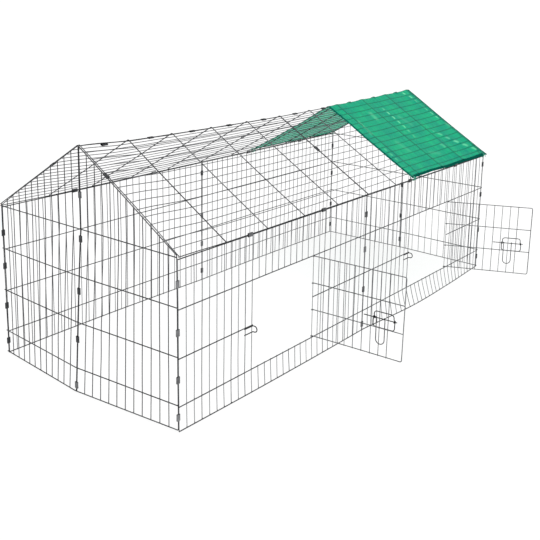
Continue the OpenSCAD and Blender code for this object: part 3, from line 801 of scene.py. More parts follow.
def gable():
    gw = 0.7052 * SLOPE_L
    z_roof = EAVE_Z + gw * SN + M_EDGE * CS
    y_roof = YO - gw * CS + M_EDGE * SN
    dz = (gz(y_roof) - z_roof) * CS
    dx = -XO + XR
    return T(-(XO + XR) / 2, -y_roof, z_roof) @ RX(DEG) @ T(0, 0, dz / 2) @ RX(90) @ RZ(math.degrees(math.atan2(dz, dx)))


g = gable()
lift_g = {0: 1.0, 1: 0.3}
b_g = Build()
for a in (0, 1):
    for c in (0, 1):
        m = SC(-1 if a else 1, -1 if c else 1, 1) @ g
        m = T(0, 0, 0.5 if a else LEFT_LIFT + 0.3) @ m
        clip(b_g, m, np.array(m.translation), tones=(0.1, 0.4))
b_g.make("sleeve_gable_clips", MAT_CLIP, "run", ["gable_clips"], "clip_metal")

w_mid = (math.floor(0.57 * N_SLOPE) + 0.5) * P_SLOPE
slope_m = T(0, -YO, EAVE_Z) @ RX(DEG) @ T(0, w_mid, M_EDGE) @ RX(90)
put_clips("mid_roof_clips", [SC(1, -1 if c else 1, 1) @ slope_m for c in (0, 1)])
corners, tone_c = [], []
for a, c, key, tn in ((0, 0, "front_left", (0.45, 0.75)), (1, 0, "front_right", (0.0, 0.3)),
                      (0, 1, "back_left", (0.0, 0.3)), (1, 1, "back_right", (0.0, 0.4))):
    for z in clip_z(key):
        corners.append(SC(-1 if a else 1, -1 if c else 1, 1) @ T(-(XF + XO - OFF_E) / 2, -YE, z + (0 if a else 2.0)))
        tone_c.append(tn)
put_clips("corner_clips", corners, tones=tone_c)
put_clips("front_joint_clips", [T(0, -YO + OFF_E, z) for z in clip_z("front_joint")], tones=(0.3, 0.55))
put_clips("back_joint_clips", [SC(1, -1, 1) @ T(0, -YO + OFF_E, z) for z in clip_z("back_joint")], tones=(0.2, 0.5))
TOP_CLIP = [EAVE + 0.42 * (RIDGE - EAVE)]
put_clips("left_post_clips", [T(-XO + OFF_E, 0, z) @ RZ(90) for z in clip_z("left_post") + TOP_CLIP], LEFT_LIFT, (0.1, 0.5))
put_clips("right_post_clips", [SC(-1, 1, 1) @ T(-XO + OFF_E, 0, z) @ RZ(90) for z in clip_z("right_post") + TOP_CLIP], tones=(0.0, 0.4))


# --------------------------------------------------------------------- shade
S_MAX = SLOPE_L - 1.5
EAVE_CLIP_X = XJ + (math.floor(0.705 * N_LEN) + 0.5) * P_LEN
RAFTERS_X = [XR - i * (XR - XJ) / BAYS for i in range(BAYS + 1)]       # right half


def bump_line(px, ps, x0, s0, x1, s1, width, height, taper=0.25):
    """A crease: a soft ridge along a line in the sheet's own coordinates."""
    dx, ds = x1 - x0, s1 - s0
    ln = math.hypot(dx, ds)
    ux, us = dx / ln, ds / ln
    t = ((px - x0) * ux + (ps - s0) * us) / ln
    d = -(px - x0) * us + (ps - s0) * ux
    env = smooth(t / taper) * smooth((1 - t) / taper)
    return height * env * np.exp(-(d / width) ** 2)


def shade_shape(px, ps):
    """Where the sheet's middle surface lies: px along the ridge (mm), ps down a
    slope from the ridge line (mm, negative on the front). Returns points in mm."""
    px, ps = np.asarray(px, float), np.asarray(ps, float)
    s = np.abs(ps)
    front = ps < 0
    # over the rafters the sheet lies high; between them it comes down on the thin wires
    raf = np.array(RAFTERS_X[::-1])
    k = np.clip(np.searchsorted(raf, px) - 1, 0, len(raf) - 2)
    t = np.clip((px - raf[k]) / (raf[k + 1] - raf[k]), 0, 1)
    tent = 1 - np.abs(2 * t - 1) ** 3.2
    hi, lo = M_RAF + RR + 0.5, M_PUR + BR + 0.4
    m = hi - (hi - lo) * tent
    w = SLOPE_L - s
    ripple = np.cos(2 * math.pi * w / P_SLOPE)
    m += 0.22 * ripple * tent - 0.12 * tent
    # past the end the sheet's margin drops a little over the gable edge
    past = np.clip((px - 895) / 17, 0, 1)
    m -= 1.6 * past ** 1.6
    # left of its first rafter it only lies on the thin wires and lifts in places
    lift = smooth((345 - px) / 45)
    m += lift * (1.1 + 1.6 * np.sin(ps / 37.0 + 0.7) * np.sin(ps / 83.0))
    # the foot of each slope stands off where nothing holds it
    foot = smooth((s - (S_MAX - 60)) / 60)
    m += foot * (0.3 + 0.5 * np.sin(px / 41.0 + 1.0 * front) * np.sin(px / 97.0 + 0.6))
    # its hem lies on the ends of the rafters and droops a little to the eave between them
    low = smooth((s - (S_MAX - 26)) / 20)
    m += low * (0.95 - 0.35 * tent)
    m += 3.3 * np.exp(-((px - EAVE_CLIP_X) / 13.5) ** 4 - (w / 10.0) ** 4)
    # slack folds
    # (drawn in a little over each thin wire)
    pull = 0.62 - 0.38 * ripple
    for c in FOLDS:
        m += bump_line(px, ps, *c) * pull
    # in the plane of the sheet: corners drawn to their ties, edges hollow between
    x = px.copy()
    mid = np.sin(math.pi * np.clip(s / S_MAX, 0, 1))
    edge_l = np.clip(1 - (px - SHADE_X0) / 130, 0, 1) ** 1.5
    x += edge_l * (5.5 * mid + 1.4 * np.sin(ps / 29.0 + 0.5) * mid)
    edge_r = np.clip((px - 780) / 132, 0, 1) ** 1.5
    x -= edge_r * (3.5 * mid + 0.8 * np.sin(ps / 47.0))
    tx = np.clip((px - SHADE_X0) / (SHADE_X1 - SHADE_X0), 0, 1)
    hollow = np.sin(math.pi * tx ** 0.72) ** 0.8
    low_k = np.clip((s - (S_MAX - 110)) / 110, 0, 1) ** 1.4
    s2 = s - low_k * ((2.0 + 0.9 * np.sin(px / 33.0)) * hollow - 1.6 * (1 - hollow))
    s2 = s2 + low_k * 5.5 * smooth((px - 430) / 150)
    ridge_lift = 0.9 * np.exp(-(s / 9.0) ** 2)
    m = m + ridge_lift
    # clips under the ridge push the sheet up
    for xc in [XJ + (i + 0.5) * (XR - XJ) / BAYS for i in range(BAYS)]:
        m += 2.7 * np.exp(-((px - xc) / 12.5) ** 4 - (s / 9.5) ** 2)
    # and so do the clips on the gable's edge
    m += 2.0 * np.exp(-((px - 897) / 9.0) ** 4 - ((s - 0.2948 * SLOPE_L) / 14.0) ** 4)
    yy = np.sqrt((s2 * CS) ** 2 + 2.6 ** 2)
    y_abs = s2 * CS + m * SN * np.clip(s / 12, 0, 1)
    z = EAVE_Z + (YO - np.sqrt((s2 * CS) ** 2 + 2.6 ** 2)) * math.tan(SLOPE) + m * CS + (m / CS - m * CS) * np.exp(-(s / 8.0) ** 2)
    y = np.where(front, -y_abs, y_abs)
    return flex(np.stack([x, y, z], -1).reshape(-1, 3)).reshape(x.shape + (3,))


# x0, s0, x1, s1, width, height, taper: creases on the front (s < 0) and back slopes
FOLDS = [
    # x0, s0, x1, s1, width, height, taper
    (598, -52, 600, -232, 9.0, 4.6, 0.2),
    (604, -215, 556, -300, 8.0, 3.0, 0.35),
    (722, -232, 900, -425, 10.0, 5.2, 0.22),
    (846, -6, 882, -222, 8.0, 4.4, 0.2),
    (334, -232, 326, -372, 11.0, 5.0, 0.3),
    (498, -58, 490, -150, 14.0, 3.0, 0.4),
    (372, -60, 352, -215, 10.0, 2.6, 0.35),
    (690, -300, 700, -372, 14.0, 3.2, 0.4),
    (905, -352, 896, -430, 5.0, 3.2, 0.3),
    (318, -425, 400, -352, 8.0, 3.6, 0.3),
    (310, -428, 470, -412, 6.0, 2.2, 0.3),
    (900, -430, 760, -418, 6.0, 2.2, 0.3),
    (455, -30, 420, -110, 12.0, 2.4, 0.4),
    (610, 60, 596, 240, 9.0, 4.0, 0.25),
    (720, 240, 900, 425, 9.0, 4.6, 0.22),
    (310, 420, 430, 270, 8.0, 3.8, 0.3),
    (450, 120, 470, 300, 10.0, 3.0, 0.35),
    (860, 30, 880, 220, 8.0, 3.6, 0.25),
]


def shade_grid(step=4.5):
    xs = np.linspace(SHADE_X0, SHADE_X1, int((SHADE_X1 - SHADE_X0) / step) + 1)
    ns = int(S_MAX / step)
    ss = np.linspace(-S_MAX, S_MAX, 2 * ns + 1)
    return xs, ss


def surface_normals(g):
    du = np.gradient(g, axis=0)
    dv = np.gradient(g, axis=1)
    n = np.cross(du, dv)
    n /= np.linalg.norm(n, axis=-1)[..., None]
    n[n[..., 2] < 0] *= -1
    return n


def grid_object(name, g, mat_, extra=None):
    nu, nv = g.shape[:2]
    idx = np.arange(nu * nv).reshape(nu, nv)
    quads = np.stack([idx[:-1, :-1], idx[1:, :-1], idx[1:, 1:], idx[:-1, 1:]], -1).reshape(-1, 4)
    me = bpy.data.meshes.new(name)
    me.from_pydata([tuple(p) for p in (g.reshape(-1, 3) * 0.001)], [], [tuple(int(i) for i in q) for q in quads])
    me.polygons.foreach_set("use_smooth", [True] * len(me.polygons))
    for key, val in (extra or {}).items():
        at = me.attributes.new(key, "FLOAT", "POINT")
        at.data.foreach_set("value", np.asarray(val, np.float32).ravel())
    me.update()
    ob = bpy.data.objects.new(name, me)
    bpy.context.scene.collection.objects.link(ob)
    me.materials.append(mat_)
    return ob


# under is the painted light colour of the side turned down, standing in for light coming through the cloth
def cloth_material(name, base, deep, through, thin=0.34, glint_colour=(0.28, 0.85, 0.54), under=(0.25, 0.90, 0.70), gloss=1.0):
    """Coated woven shade cloth: fine weave, a soft shine, light coming through, and painted shadow lines where the
    wires below touch it."""
    m, nt, out = new_mat(name)
    L_ = nt.links.new
    bsdf = node(nt, "ShaderNodeBsdfPrincipled")
    bsdf.inputs["Roughness"].default_value = 0.34
    bsdf.inputs["Specular IOR Level"].default_value = 0.07 * gloss
    bsdf.inputs["Sheen Weight"].default_value = 0.0
    bsdf.inputs["Sheen Roughness"].default_value = 0.4
    bsdf.inputs["Coat Weight"].default_value = 0.03 * gloss
    bsdf.inputs["Coat Roughness"].default_value = 0.16
    trans = node(nt, "ShaderNodeBsdfTranslucent")
    mix = node(nt, "ShaderNodeMixShader")
    mix.inputs[0].default_value = thin
    cx = node(nt, "ShaderNodeAttribute", attribute_name="cu")
    cv = node(nt, "ShaderNodeAttribute", attribute_name="cv")
    comb = node(nt, "ShaderNodeCombineXYZ")
    L_(cx.outputs["Fac"], comb.inputs[0]); L_(cv.outputs["Fac"], comb.inputs[1])
    # weave: two crossing sets of threads, 0.9 mm apart, in cloth coordinates (mm)
    wv = node(nt, "ShaderNodeTexWave", wave_type="BANDS", bands_direction="X"); wv.inputs["Scale"].default_value = 1.1 / (2 * math.pi) * 2.0
    wh = node(nt, "ShaderNodeTexWave", wave_type="BANDS", bands_direction="Y"); wh.inputs["Scale"].default_value = 1.1 / (2 * math.pi) * 2.0
    wv.inputs["Distortion"].default_value = 0.5; wh.inputs["Distortion"].default_value = 0.5
    wv.inputs["Detail"].default_value = 1; wh.inputs["Detail"].default_value = 1
    L_(comb.outputs[0], wv.inputs["Vector"]); L_(comb.outputs[0], wh.inputs["Vector"])
    wm = node(nt, "ShaderNodeMath", operation="MAXIMUM")
    L_(wv.outputs["Fac"], wm.inputs[0]); L_(wh.outputs["Fac"], wm.inputs[1])
    cloud = node(nt, "ShaderNodeTexNoise"); cloud.inputs["Scale"].default_value = 0.013; cloud.inputs["Detail"].default_value = 5
    L_(comb.outputs[0], cloud.inputs["Vector"])
    streak = node(nt, "ShaderNodeTexNoise"); streak.inputs["Scale"].default_value = 0.09; streak.inputs["Detail"].default_value = 3
    mapn = node(nt, "ShaderNodeMapping"); mapn.inputs["Scale"].default_value = (1.0, 0.12, 1)
    L_(comb.outputs[0], mapn.inputs["Vector"]); L_(mapn.outputs[0], streak.inputs["Vector"])
    tone = node(nt, "ShaderNodeMath", operation="MULTIPLY_ADD"); tone.inputs[1].default_value = 0.5
    L_(cloud.outputs["Fac"], tone.inputs[0])
    st2 = node(nt, "ShaderNodeMath", operation="MULTIPLY"); st2.inputs[1].default_value = 0.5
    L_(streak.outputs["Fac"], st2.inputs[0]); L_(st2.outputs[0], tone.inputs[2])
    ramp = node(nt, "ShaderNodeValToRGB")
    ramp.color_ramp.elements[0].position = 0.34; ramp.color_ramp.elements[0].color = (*deep, 1)
    ramp.color_ramp.elements[1].position = 0.64; ramp.color_ramp.elements[1].color = (*base, 1)
    L_(tone.outputs[0], ramp.inputs["Fac"])
    # painted shadow: dark lines over the wires below the cloth
    def near_line(value, pitch, inner, outer, strength):
        """strength within inner mm of the nearest multiple of pitch, 0 past outer."""
        d = node(nt, "ShaderNodeMath", operation="PINGPONG"); d.inputs[1].default_value = pitch / 2
        L_(value, d.inputs[0])
        f = node(nt, "ShaderNodeMapRange", interpolation_type="SMOOTHSTEP")
        f.inputs["From Min"].default_value, f.inputs["From Max"].default_value = inner, outer
        f.inputs["To Min"].default_value, f.inputs["To Max"].default_value = strength, 0.0
        L_(d.outputs[0], f.inputs["Value"])
        return f.outputs["Result"]

    across = node(nt, "ShaderNodeMath", operation="SUBTRACT"); across.inputs[0].default_value = XR
    L_(cx.outputs["Fac"], across.inputs[1])
    down = node(nt, "ShaderNodeMath", operation="ABSOLUTE")
    L_(cv.outputs["Fac"], down.inputs[0])
    climb = node(nt, "ShaderNodeMath", operation="SUBTRACT"); climb.inputs[0].default_value = SLOPE_L
    L_(down.outputs[0], climb.inputs[1])
    over_rafter = near_line(across.outputs[0], (XR - XJ) / BAYS, 0.9, 4.2, 1.0)
    over_mesh = near_line(climb.outputs[0], P_SLOPE, 0.4, 3.2, 0.85)
    both = node(nt, "ShaderNodeMath", operation="MAXIMUM")
    L_(over_rafter, both.inputs[0]); L_(over_mesh, both.inputs[1])
    # the painted shadow lines are stronger in some places than in others
    shadow_strength = node(nt, "ShaderNodeMapRange")
    shadow_strength.inputs["From Min"].default_value, shadow_strength.inputs["From Max"].default_value = 0.3, 0.62
    shadow_strength.inputs["To Min"].default_value, shadow_strength.inputs["To Max"].default_value = 0.62, 1.0
    L_(streak.outputs["Fac"], shadow_strength.inputs["Value"])
    wire_shadow = node(nt, "ShaderNodeMath", operation="MULTIPLY")
    L_(both.outputs[0], wire_shadow.inputs[0]); L_(shadow_strength.outputs["Result"], wire_shadow.inputs[1])
    # the 'wire' attribute carries painted shade under the clips and along the folded corners
    clip_shadow = node(nt, "ShaderNodeAttribute", attribute_name="wire")
    painted_shadow = node(nt, "ShaderNodeMath", operation="MAXIMUM")
    L_(wire_shadow.outputs[0], painted_shadow.inputs[0]); L_(clip_shadow.outputs["Fac"], painted_shadow.inputs[1])
    # painted shadow: the lines and the clip marks darken the cloth's colour towards this deep green
    lm = node(nt, "ShaderNodeMix", data_type="RGBA"); lm.inputs[7].default_value = (deep[0] * 0.35, deep[1] * 0.27, deep[2] * 0.29, 1)
    lf = node(nt, "ShaderNodeMath", operation="MULTIPLY"); lf.inputs[1].default_value = 0.92; lf.use_clamp = True
    L_(painted_shadow.outputs[0], lf.inputs[0]); L_(lf.outputs[0], lm.inputs[0])
    wm2 = node(nt, "ShaderNodeMix", data_type="RGBA", blend_type="MULTIPLY")
    wmr = node(nt, "ShaderNodeMapRange"); wmr.inputs["To Min"].default_value = 0.80; wmr.inputs["To Max"].default_value = 1.06
    L_(wm.outputs[0], wmr.inputs["Value"])
    wm2.inputs[0].default_value = 1.0
    L_(ramp.outputs["Color"], wm2.inputs[6])
    cc = node(nt, "ShaderNodeCombineColor")
    for i in range(3):
        L_(wmr.outputs["Result"], cc.inputs[i])
    L_(cc.outputs[0], wm2.inputs[7])
    L_(wm2.outputs[2], lm.inputs[6])
    # painted highlight: the crease attribute mixes the cloth's colour towards a pale mint along the folds
    crease = node(nt, "ShaderNodeAttribute", attribute_name="crease")
    cm = node(nt, "ShaderNodeMix", data_type="RGBA"); cm.inputs[7].default_value = (*glint_colour, 1)
    L_(crease.outputs["Fac"], cm.inputs[0]); L_(lm.outputs[2], cm.inputs[6])
    # painted light: the side turned down is painted paler and bluer, standing in for light coming through the cloth
    geo = node(nt, "ShaderNodeNewGeometry")
    nz = node(nt, "ShaderNodeSeparateXYZ")
    L_(geo.outputs["Normal"], nz.inputs[0])
    below = node(nt, "ShaderNodeMapRange")
    below.inputs["From Min"].default_value, below.inputs["From Max"].default_value = -0.35, 0.05
    below.inputs["To Min"].default_value, below.inputs["To Max"].default_value = 0.78, 0.0
    L_(nz.outputs["Z"], below.inputs["Value"])
    um = node(nt, "ShaderNodeMix", data_type="RGBA"); um.inputs[7].default_value = (*under, 1)
    L_(below.outputs["Result"], um.inputs[0]); L_(cm.outputs[2], um.inputs[6])
    L_(um.outputs[2], bsdf.inputs["Base Color"])
    tm = node(nt, "ShaderNodeMix", data_type="RGBA", blend_type="MULTIPLY"); tm.inputs[0].default_value = 1.0
    tm.inputs[7].default_value = (*through, 1)
    L_(cm.outputs[2], tm.inputs[6])
    L_(tm.outputs[2], trans.inputs["Color"])
    b1 = node(nt, "ShaderNodeBump"); b1.inputs["Strength"].default_value = 0.25; b1.inputs["Distance"].default_value = 0.00025
    L_(wm.outputs[0], b1.inputs["Height"])
    crumple = node(nt, "ShaderNodeTexNoise"); crumple.inputs["Scale"].default_value = 0.055; crumple.inputs["Detail"].default_value = 6; crumple.inputs["Roughness"].default_value = 0.6
    L_(comb.outputs[0], crumple.inputs["Vector"])
    b2 = node(nt, "ShaderNodeBump"); b2.inputs["Strength"].default_value = 0.55; b2.inputs["Distance"].default_value = 0.003
    L_(crumple.outputs["Fac"], b2.inputs["Height"]); L_(b1.outputs["Normal"], b2.inputs["Normal"])
    L_(b2.outputs["Normal"], bsdf.inputs["Normal"])
    L_(bsdf.outputs[0], mix.inputs[1]); L_(trans.outputs[0], mix.inputs[2])
    L_(mix.outputs[0], out.inputs["Surface"])
    return m


GREEN, GREEN_DEEP = (0.007, 0.53, 0.27), (0.003, 0.36, 0.25)
MAT_SHEET = cloth_material("shade_cloth", GREEN, GREEN_DEEP, (0.7, 1.3, 1.35), 0.38)
# painted shade: the hem's cloth is far darker than the sheet, standing in for the shadow along its folded edge; less
# light comes through its folded layers
MAT_HEM_PAINTED_SHADE = cloth_material("shade_hem_cloth_painted_shade", (0.002, 0.145, 0.098), (0.002, 0.11, 0.078), (0.8, 0.8, 0.9), 0.06, under=(0.01, 0.16, 0.11), gloss=0.0)


def painted_shade_mask(px, ps):
    """Painted shade for the cloth's colour: near 1 where a clip lies right under the sheet or a corner is folded, else
    0.
    """
    a = np.zeros_like(px)
    for xc in [XJ + (i + 0.5) * (XR - XJ) / BAYS for i in range(BAYS)]:
        a = np.maximum(a, 0.95 * np.exp(-((px - xc) / 10.0) ** 4 - (ps / 7.0) ** 4))
    a = np.maximum(a, 0.6 * np.exp(-((px - EAVE_CLIP_X) / 9.0) ** 4 - ((SLOPE_L - np.abs(ps)) / 7.0) ** 4))
    # and along the edge of each corner's folded patch
    for side in (-1, 1):
        a = np.maximum(a, bump_line(px, ps, 910, side * 366, 864, side * 441, 4.2, 0.8, 0.06))
        a = np.maximum(a, bump_line(px, ps, 303, side * 400, 330, side * 441, 3.6, 0.5, 0.06))
    return a


# painted highlights: along the sharp folds the cloth's colour is painted paler, most of all between the threads: lines
# of short dashes, and a few softer patches, standing in for glints off the folds
# x0, s0, x1, s1, width, strength, pitch of the dashes down the slope (0: none)
PAINTED_GLINTS = [
    (600, -58, 600, -236, 5.2, 1.0, P_SLOPE), (603, -228, 586, -268, 6.5, 0.3, P_SLOPE),
    (738, -250, 800, -330, 5.0, 0.65, P_SLOPE), (790, -318, 896, -422, 5.6, 0.95, P_SLOPE),
    (846, -6, 874, -56, 5.2, 0.95, P_SLOPE), (872, -60, 866, -110, 4.6, 0.6, P_SLOPE), (866, -104, 880, -204, 4.8, 0.85, P_SLOPE),
    (331, -250, 328, -352, 7.0, 0.4, P_SLOPE), (369, -100, 356, -200, 8.0, 0.26, 0), (497, -70, 492, -128, 10.0, 0.3, 0),
    (695, -325, 699, -356, 10.0, 0.25, 0), (892, -228, 896, -262, 7.0, 0.3, 0), (640, -120, 668, -205, 11.0, 0.14, 0),
    (450, -240, 470, -330, 13.0, 0.14, 0), (560, -350, 640, -372, 9.0, 0.14, 0),
    (611, 60, 598, 236, 5.0, 0.9, P_SLOPE), (724, 246, 896, 420, 5.2, 0.7, P_SLOPE), (452, 126, 468, 292, 9.0, 0.22, 0),
    (862, 34, 878, 214, 4.8, 0.7, P_SLOPE), (318, 408, 428, 276, 8.0, 0.22, 0),
]


# the mask of the painted highlights along the folds
def creases(px, ps):
    a = np.zeros_like(px)
    for x0, s0, x1, s1, width, strength, pitch in PAINTED_GLINTS:
        line_ = bump_line(px, ps, x0, s0, x1, s1, width, 1.0, 0.16)
        if pitch:
            line_ = line_ * smooth(0.62 - 1.1 * np.cos(2 * math.pi * ps / pitch)) * (0.85 + 0.15 * np.sin(ps / 23.0 + px / 31.0))
        a = np.maximum(a, strength * line_)
    return a


xs, ss = shade_grid(3.4)
PX, PS = np.meshgrid(xs, ss, indexing="ij")
G = shade_shape(PX, PS)
sheet = grid_object("shade_sheet_cloth", G, MAT_SHEET, {"cu": PX, "cv": PS, "wire": painted_shade_mask(PX, PS), "crease": creases(PX, PS)})
solid = sheet.modifiers.new("cloth", "SOLIDIFY")
solid.thickness = 0.0005
solid.offset = 0
bpy.context.view_layer.objects.active = sheet
sheet.select_set(True)
bpy.ops.object.modifier_apply(modifier="cloth")
sheet.select_set(False)
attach(sheet, "run")
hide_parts("shade_sheet")


# hem: the margin folded back twice and sewn, all the way round
def hem(width=12.5, t=0.62):
    b = Build()
    step = 4.0
    sides = []
    x0, x1, s0, s1 = SHADE_X0, SHADE_X1, -S_MAX, S_MAX
    corners_ = [(x0, s0), (x1, s0), (x1, s1), (x0, s1)]
    inward = [(1, 1), (-1, 1), (-1, -1), (1, -1)]
    path, inn = [], []
    for i in range(4):
        a, c = np.array(corners_[i]), np.array(corners_[(i + 1) % 4])
        n = int(np.linalg.norm(c - a) / step)
        side_in = {0: (0, 1), 1: (-1, 0), 2: (0, -1), 3: (1, 0)}[i]
        for k in range(n):
            path.append(a + (c - a) * k / n)
            inn.append(inward[i] if k == 0 else side_in)
    path, inn = np.array(path), np.array(inn, float)
    prof = [(-0.8, 0.0), (-0.5, 0.65), (0.3, 1.15), (2.0, 1.3), (4.0, 1.15), (width - 1.0, 1.05), (width - 0.2, 0.85), (width, 0.3),
            (width, -0.3), (width - 0.2, -0.85), (width - 1.0, -1.05), (4.0, -1.15), (2.0, -1.3), (0.3, -1.15), (-0.5, -0.65)]
    n, k = len(path), len(prof)
    verts = np.zeros((n, k, 3))
    wob = 1 + 0.05 * np.sin(np.arange(n) * 0.9)
    for j, (d, o) in enumerate(prof):
        q = path + inn * max(d, 0)
        dd = 0.6
        p0 = shade_shape(q[:, 0], q[:, 1])
        pu = shade_shape(q[:, 0] + dd, q[:, 1])
        pv = shade_shape(q[:, 0], q[:, 1] + dd)
        nn = np.cross(pu - p0, pv - p0)
        nn /= np.linalg.norm(nn, axis=1)[:, None]
        nn[nn[:, 2] < 0] *= -1
        out_dir = np.zeros_like(p0)
        if d < 0:
            back = path + inn * 1.5
            pb = shade_shape(back[:, 0], back[:, 1])
            e = p0 - pb
            out_dir = e / np.linalg.norm(e, axis=1)[:, None] * (-d)
        verts[:, j] = p0 + out_dir + nn * (o * t * wob)[:, None] if np.ndim(o * t * wob) else p0
    idx = np.arange(n * k).reshape(n, k)
    faces = []
    for i in range(n):
        i2 = (i + 1) % n
        for j in range(k):
            j2 = (j + 1) % k
            faces.append((idx[i, j], idx[i2, j], idx[i2, j2], idx[i, j2]))
    b.add(verts.reshape(-1, 3), [tuple(int(q) for q in f) for f in faces], 0.5)
    ob = b.make("shade_hem", MAT_HEM_PAINTED_SHADE, "run", (), "shade_sheet")
    cu = np.repeat(path[:, 0], k)
    cv = np.repeat(path[:, 1], k)
    for key, val in (("cu", cu), ("cv", cv), ("wire", np.zeros(n * k))):
        at = ob.data.attributes.new(key, "FLOAT", "POINT")
        at.data.foreach_set("value", val.astype(np.float32))
    return ob, path, inn


hem_ob, hem_path, hem_in = hem()


def cord_material(name, base):
    m, nt, out = new_mat(name)
    bsdf = node(nt, "ShaderNodeBsdfPrincipled")
    bsdf.inputs["Roughness"].default_value = 0.6
    tc = node(nt, "ShaderNodeTexCoord")
    wv = node(nt, "ShaderNodeTexWave", wave_type="BANDS", bands_direction="DIAGONAL"); wv.inputs["Scale"].default_value = 260
    wv.inputs["Distortion"].default_value = 1.2
    nt.links.new(tc.outputs["Object"], wv.inputs["Vector"])
    ramp = node(nt, "ShaderNodeValToRGB")
    ramp.color_ramp.elements[0].color = (*[c * 0.55 for c in base], 1)
    ramp.color_ramp.elements[1].color = (*base, 1)
    nt.links.new(wv.outputs["Fac"], ramp.inputs["Fac"])
    nt.links.new(ramp.outputs["Color"], bsdf.inputs["Base Color"])
    bump = node(nt, "ShaderNodeBump"); bump.inputs["Strength"].default_value = 0.5; bump.inputs["Distance"].default_value = 0.0003
    nt.links.new(wv.outputs["Fac"], bump.inputs["Height"])
    nt.links.new(bump.outputs["Normal"], bsdf.inputs["Normal"])
    nt.links.new(bsdf.outputs[0], out.inputs["Surface"])
    return m


MAT_THREAD = cord_material("shade_thread", (0.05, 0.36, 0.24))
MAT_TIE = cord_material("shade_tie_cord", (0.022, 0.36, 0.235))


def stitching(depth=10.6, pitch=4.2, length=3.0):
    b = Build()
    n = len(hem_path)
    q = hem_path + hem_in * depth
    # resample the sewn line evenly, corner to corner
    closed = np.concatenate([q, q[:1]])
    seg = np.linalg.norm(np.diff(closed, axis=0), axis=1)
    acc = np.concatenate([[0], np.cumsum(seg)])
    for s in np.arange(2.0, acc[-1] - 2.0, pitch):
        def at(v):
            i = min(np.searchsorted(acc, v) - 1, len(seg) - 1)
            return closed[i] + (closed[i + 1] - closed[i]) * (v - acc[i]) / max(seg[i], 1e-9)
        pts = np.array([at(s + length * k) for k in (0, 0.5, 1)])
        p0 = shade_shape(pts[:, 0], pts[:, 1])
        pu = shade_shape(pts[:, 0] + 0.6, pts[:, 1])
        pv = shade_shape(pts[:, 0], pts[:, 1] + 0.6)
        nn = np.cross(pu - p0, pv - p0)
        nn /= np.linalg.norm(nn, axis=1)[:, None]
        nn[nn[:, 2] < 0] *= -1
        rise = np.array([0.55, 0.85, 0.55])
        tube(b, p0 + nn * rise[:, None], [0.16, 0.27, 0.16], 6, 0.5, ("round", "round"))
    return b.make("shade_stitching", MAT_THREAD, "run", (), "shade_sheet")


stitch_ob = stitching()


# ties: a turn of cord through the corner and round the eave wires, knotted
def tie(b, x, front, seed):
    r = np.random.default_rng(seed)
    sg = -1 if front else 1

    def place(w, m, dx=0.0):
        p = on_slope(x + dx, w, m)
        p[1] *= 1 if front else -1
        return p
    loops = []
    for turn in range(2):
        n = 34
        a = np.linspace(0, 2 * math.pi, n)
        # a snug turn: over the sheet's corner and under the top rail
        w = 4.6 + (9.2 + 0.5 * turn) * np.sign(np.cos(a)) * np.abs(np.cos(a)) ** 0.85
        m = 0.3 + (7.3 + 0.3 * turn) * np.sign(np.sin(a)) * np.abs(np.sin(a)) ** 0.8 + 0.25 * np.sin(3 * a)
        dx = -1.3 + 2.6 * turn + 1.0 * np.sin(a + turn * 1.3)
        loops.append(np.array([place(w[i], m[i], dx[i]) for i in range(n)]))
    for lp in loops:
        tube(b, flex(lp), 0.95, 7, r.uniform(0.3, 0.7), ("round", "round"))
    # a knot over the sheet's corner, and its two ends
    k = 30
    a = np.linspace(0, 2 * math.pi, k)
    kw = 1.2 + 2.2 * np.sin(a) + 1.9 * np.sin(2 * a)
    kx = 2.4 * np.cos(a) - 2.6 * np.cos(2 * a)
    km = 8.4 + 1.4 * np.sin(3 * a)
    tube(b, flex(np.array([place(kw[i], km[i], kx[i]) for i in range(k)])), 1.05, 7, 0.5, ("round", "round"))
    for side in (-1, 1):
        t = np.linspace(0, 1, 9)
        ln = r.uniform(12, 18)
        ew = 0.5 - ln * t * (0.42 + 0.12 * side)
        ex = side * (2.2 + ln * 0.55 * t)
        em = 8.4 + 2.0 * np.sin(t * 2.6) - 11.0 * t ** 2
        tube(b, flex(np.array([place(ew[i], em[i], ex[i]) for i in range(9)])), [1.0] * 7 + [0.95, 1.2], 7, 0.5, ("round", "cut"))


tb = Build()
for i, (x, f) in enumerate([(SHADE_X0 + 9, True), (XR - 9, True), (SHADE_X0 + 9, False), (XR - 9, False)]):
    tie(tb, x, f, 40 + i)
ties_ob = tb.make("shade_tie_cords", MAT_TIE, "run", ["shade_ties"], "shade_tie")

# --------------------------------------------------------------------- stage
floor_mat, fnt, fout = new_mat("pale_floor")
fb = node(fnt, "ShaderNodeBsdfPrincipled")
fb.inputs["Base Color"].default_value = (0.16, 0.16, 0.16, 1)
fb.inputs["Emission Color"].default_value = (1, 1, 1, 1)
fb.inputs["Emission Strength"].default_value = 0.86
fb.inputs["Roughness"].default_value = 0.9
fb.inputs["Specular IOR Level"].default_value = 0.1
fnt.links.new(fb.outputs[0], fout.inputs["Surface"])
fm = bpy.data.meshes.new("floor")
R_ = 900.0
fm.from_pydata([(-R_, -R_, -0.0004), (R_, -R_, -0.0004), (R_, R_, -0.0004), (-R_, R_, -0.0004)], [], [(0, 1, 2, 3)])
fm.materials.append(floor_mat)
floor = bpy.data.objects.new("floor", fm)
bpy.context.scene.collection.objects.link(floor)

world = bpy.data.worlds.new("studio")
bpy.context.scene.world = world
world.use_nodes = True
bg = world.node_tree.nodes["Background"]
bg.inputs["Color"].default_value = (1.0, 1.0, 1.0, 1)
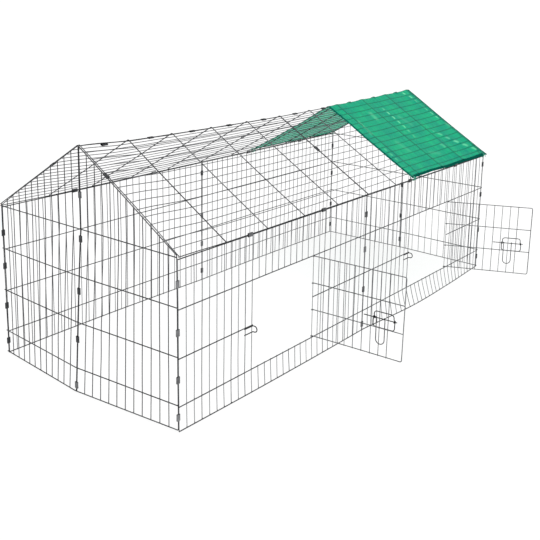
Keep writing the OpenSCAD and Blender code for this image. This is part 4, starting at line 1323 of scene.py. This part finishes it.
# a white sweep: bright at the horizon, softer overhead
wt = world.node_tree
wc = wt.nodes.new("ShaderNodeTexCoord")
wz = wt.nodes.new("ShaderNodeSeparateXYZ")
wr = wt.nodes.new("ShaderNodeMapRange")
wr.interpolation_type = "SMOOTHSTEP"
wr.inputs["From Min"].default_value, wr.inputs["From Max"].default_value = 0.0, 0.62
wr.inputs["To Min"].default_value, wr.inputs["To Max"].default_value = 1.0, 0.40
wt.links.new(wc.outputs["Generated"], wz.inputs[0])
wt.links.new(wz.outputs["Z"], wr.inputs["Value"])
wt.links.new(wr.outputs["Result"], bg.inputs["Strength"])


def aim(ob, at):
    d = Vector(at) - ob.location
    ob.rotation_mode = "QUATERNION"
    ob.rotation_quaternion = d.to_track_quat("-Z", "Y")


def sun(name, direction, strength, angle):
    l = bpy.data.lights.new(name, "SUN")
    l.energy = strength
    l.angle = math.radians(angle)
    o = bpy.data.objects.new(name, l)
    bpy.context.scene.collection.objects.link(o)
    o.location = Vector(direction) * 5
    aim(o, (0, 0, 0))
    return o


def area(name, at, to, size, power):
    l = bpy.data.lights.new(name, "AREA")
    l.shape = "RECTANGLE"
    l.size, l.size_y = size
    l.energy = power
    o = bpy.data.objects.new(name, l)
    bpy.context.scene.collection.objects.link(o)
    o.location = at
    aim(o, to)
    return o


sun("key", (-0.45, -0.75, 1.5), 1.75, 50)
sun("top", (0.3, 0.3, 1.6), 0.75, 70)
area("rim", (3.0, -0.35, 3.0), (0.6, -0.2, 0.6), (0.9, 0.9), 9)

# -------------------------------------------------------------------- camera
cam_data = bpy.data.cameras.new("camera")
cam = bpy.data.objects.new("camera", cam_data)
bpy.context.scene.collection.objects.link(cam)
F_PX, PPX, PPY = 850.406, 270.0, 162.0
YAW, PITCH, ROLL = 0.899384, 0.209582, 0.017068
cam.location = (-2.363566, -1.838081, 1.174341)
fwd = Vector((math.sin(YAW) * math.cos(PITCH), math.cos(YAW) * math.cos(PITCH), -math.sin(PITCH)))
right = Vector((math.cos(YAW), -math.sin(YAW), 0))
up = right.cross(fwd)
r2 = math.cos(ROLL) * right + math.sin(ROLL) * up
u2 = -math.sin(ROLL) * right + math.cos(ROLL) * up
rot = Matrix((r2, u2, -fwd)).transposed()
cam.rotation_mode = "QUATERNION"
cam.rotation_quaternion = rot.to_quaternion()
cam_data.sensor_width = 36
cam_data.lens = F_PX / 540 * 36
cam_data.shift_x = (270 - PPX) / 540
cam_data.shift_y = (PPY - 270) / 540
cam_data.clip_start, cam_data.clip_end = 0.05, 3000
bpy.context.scene.camera = cam
bpy.context.scene.view_settings.view_transform = "Standard"
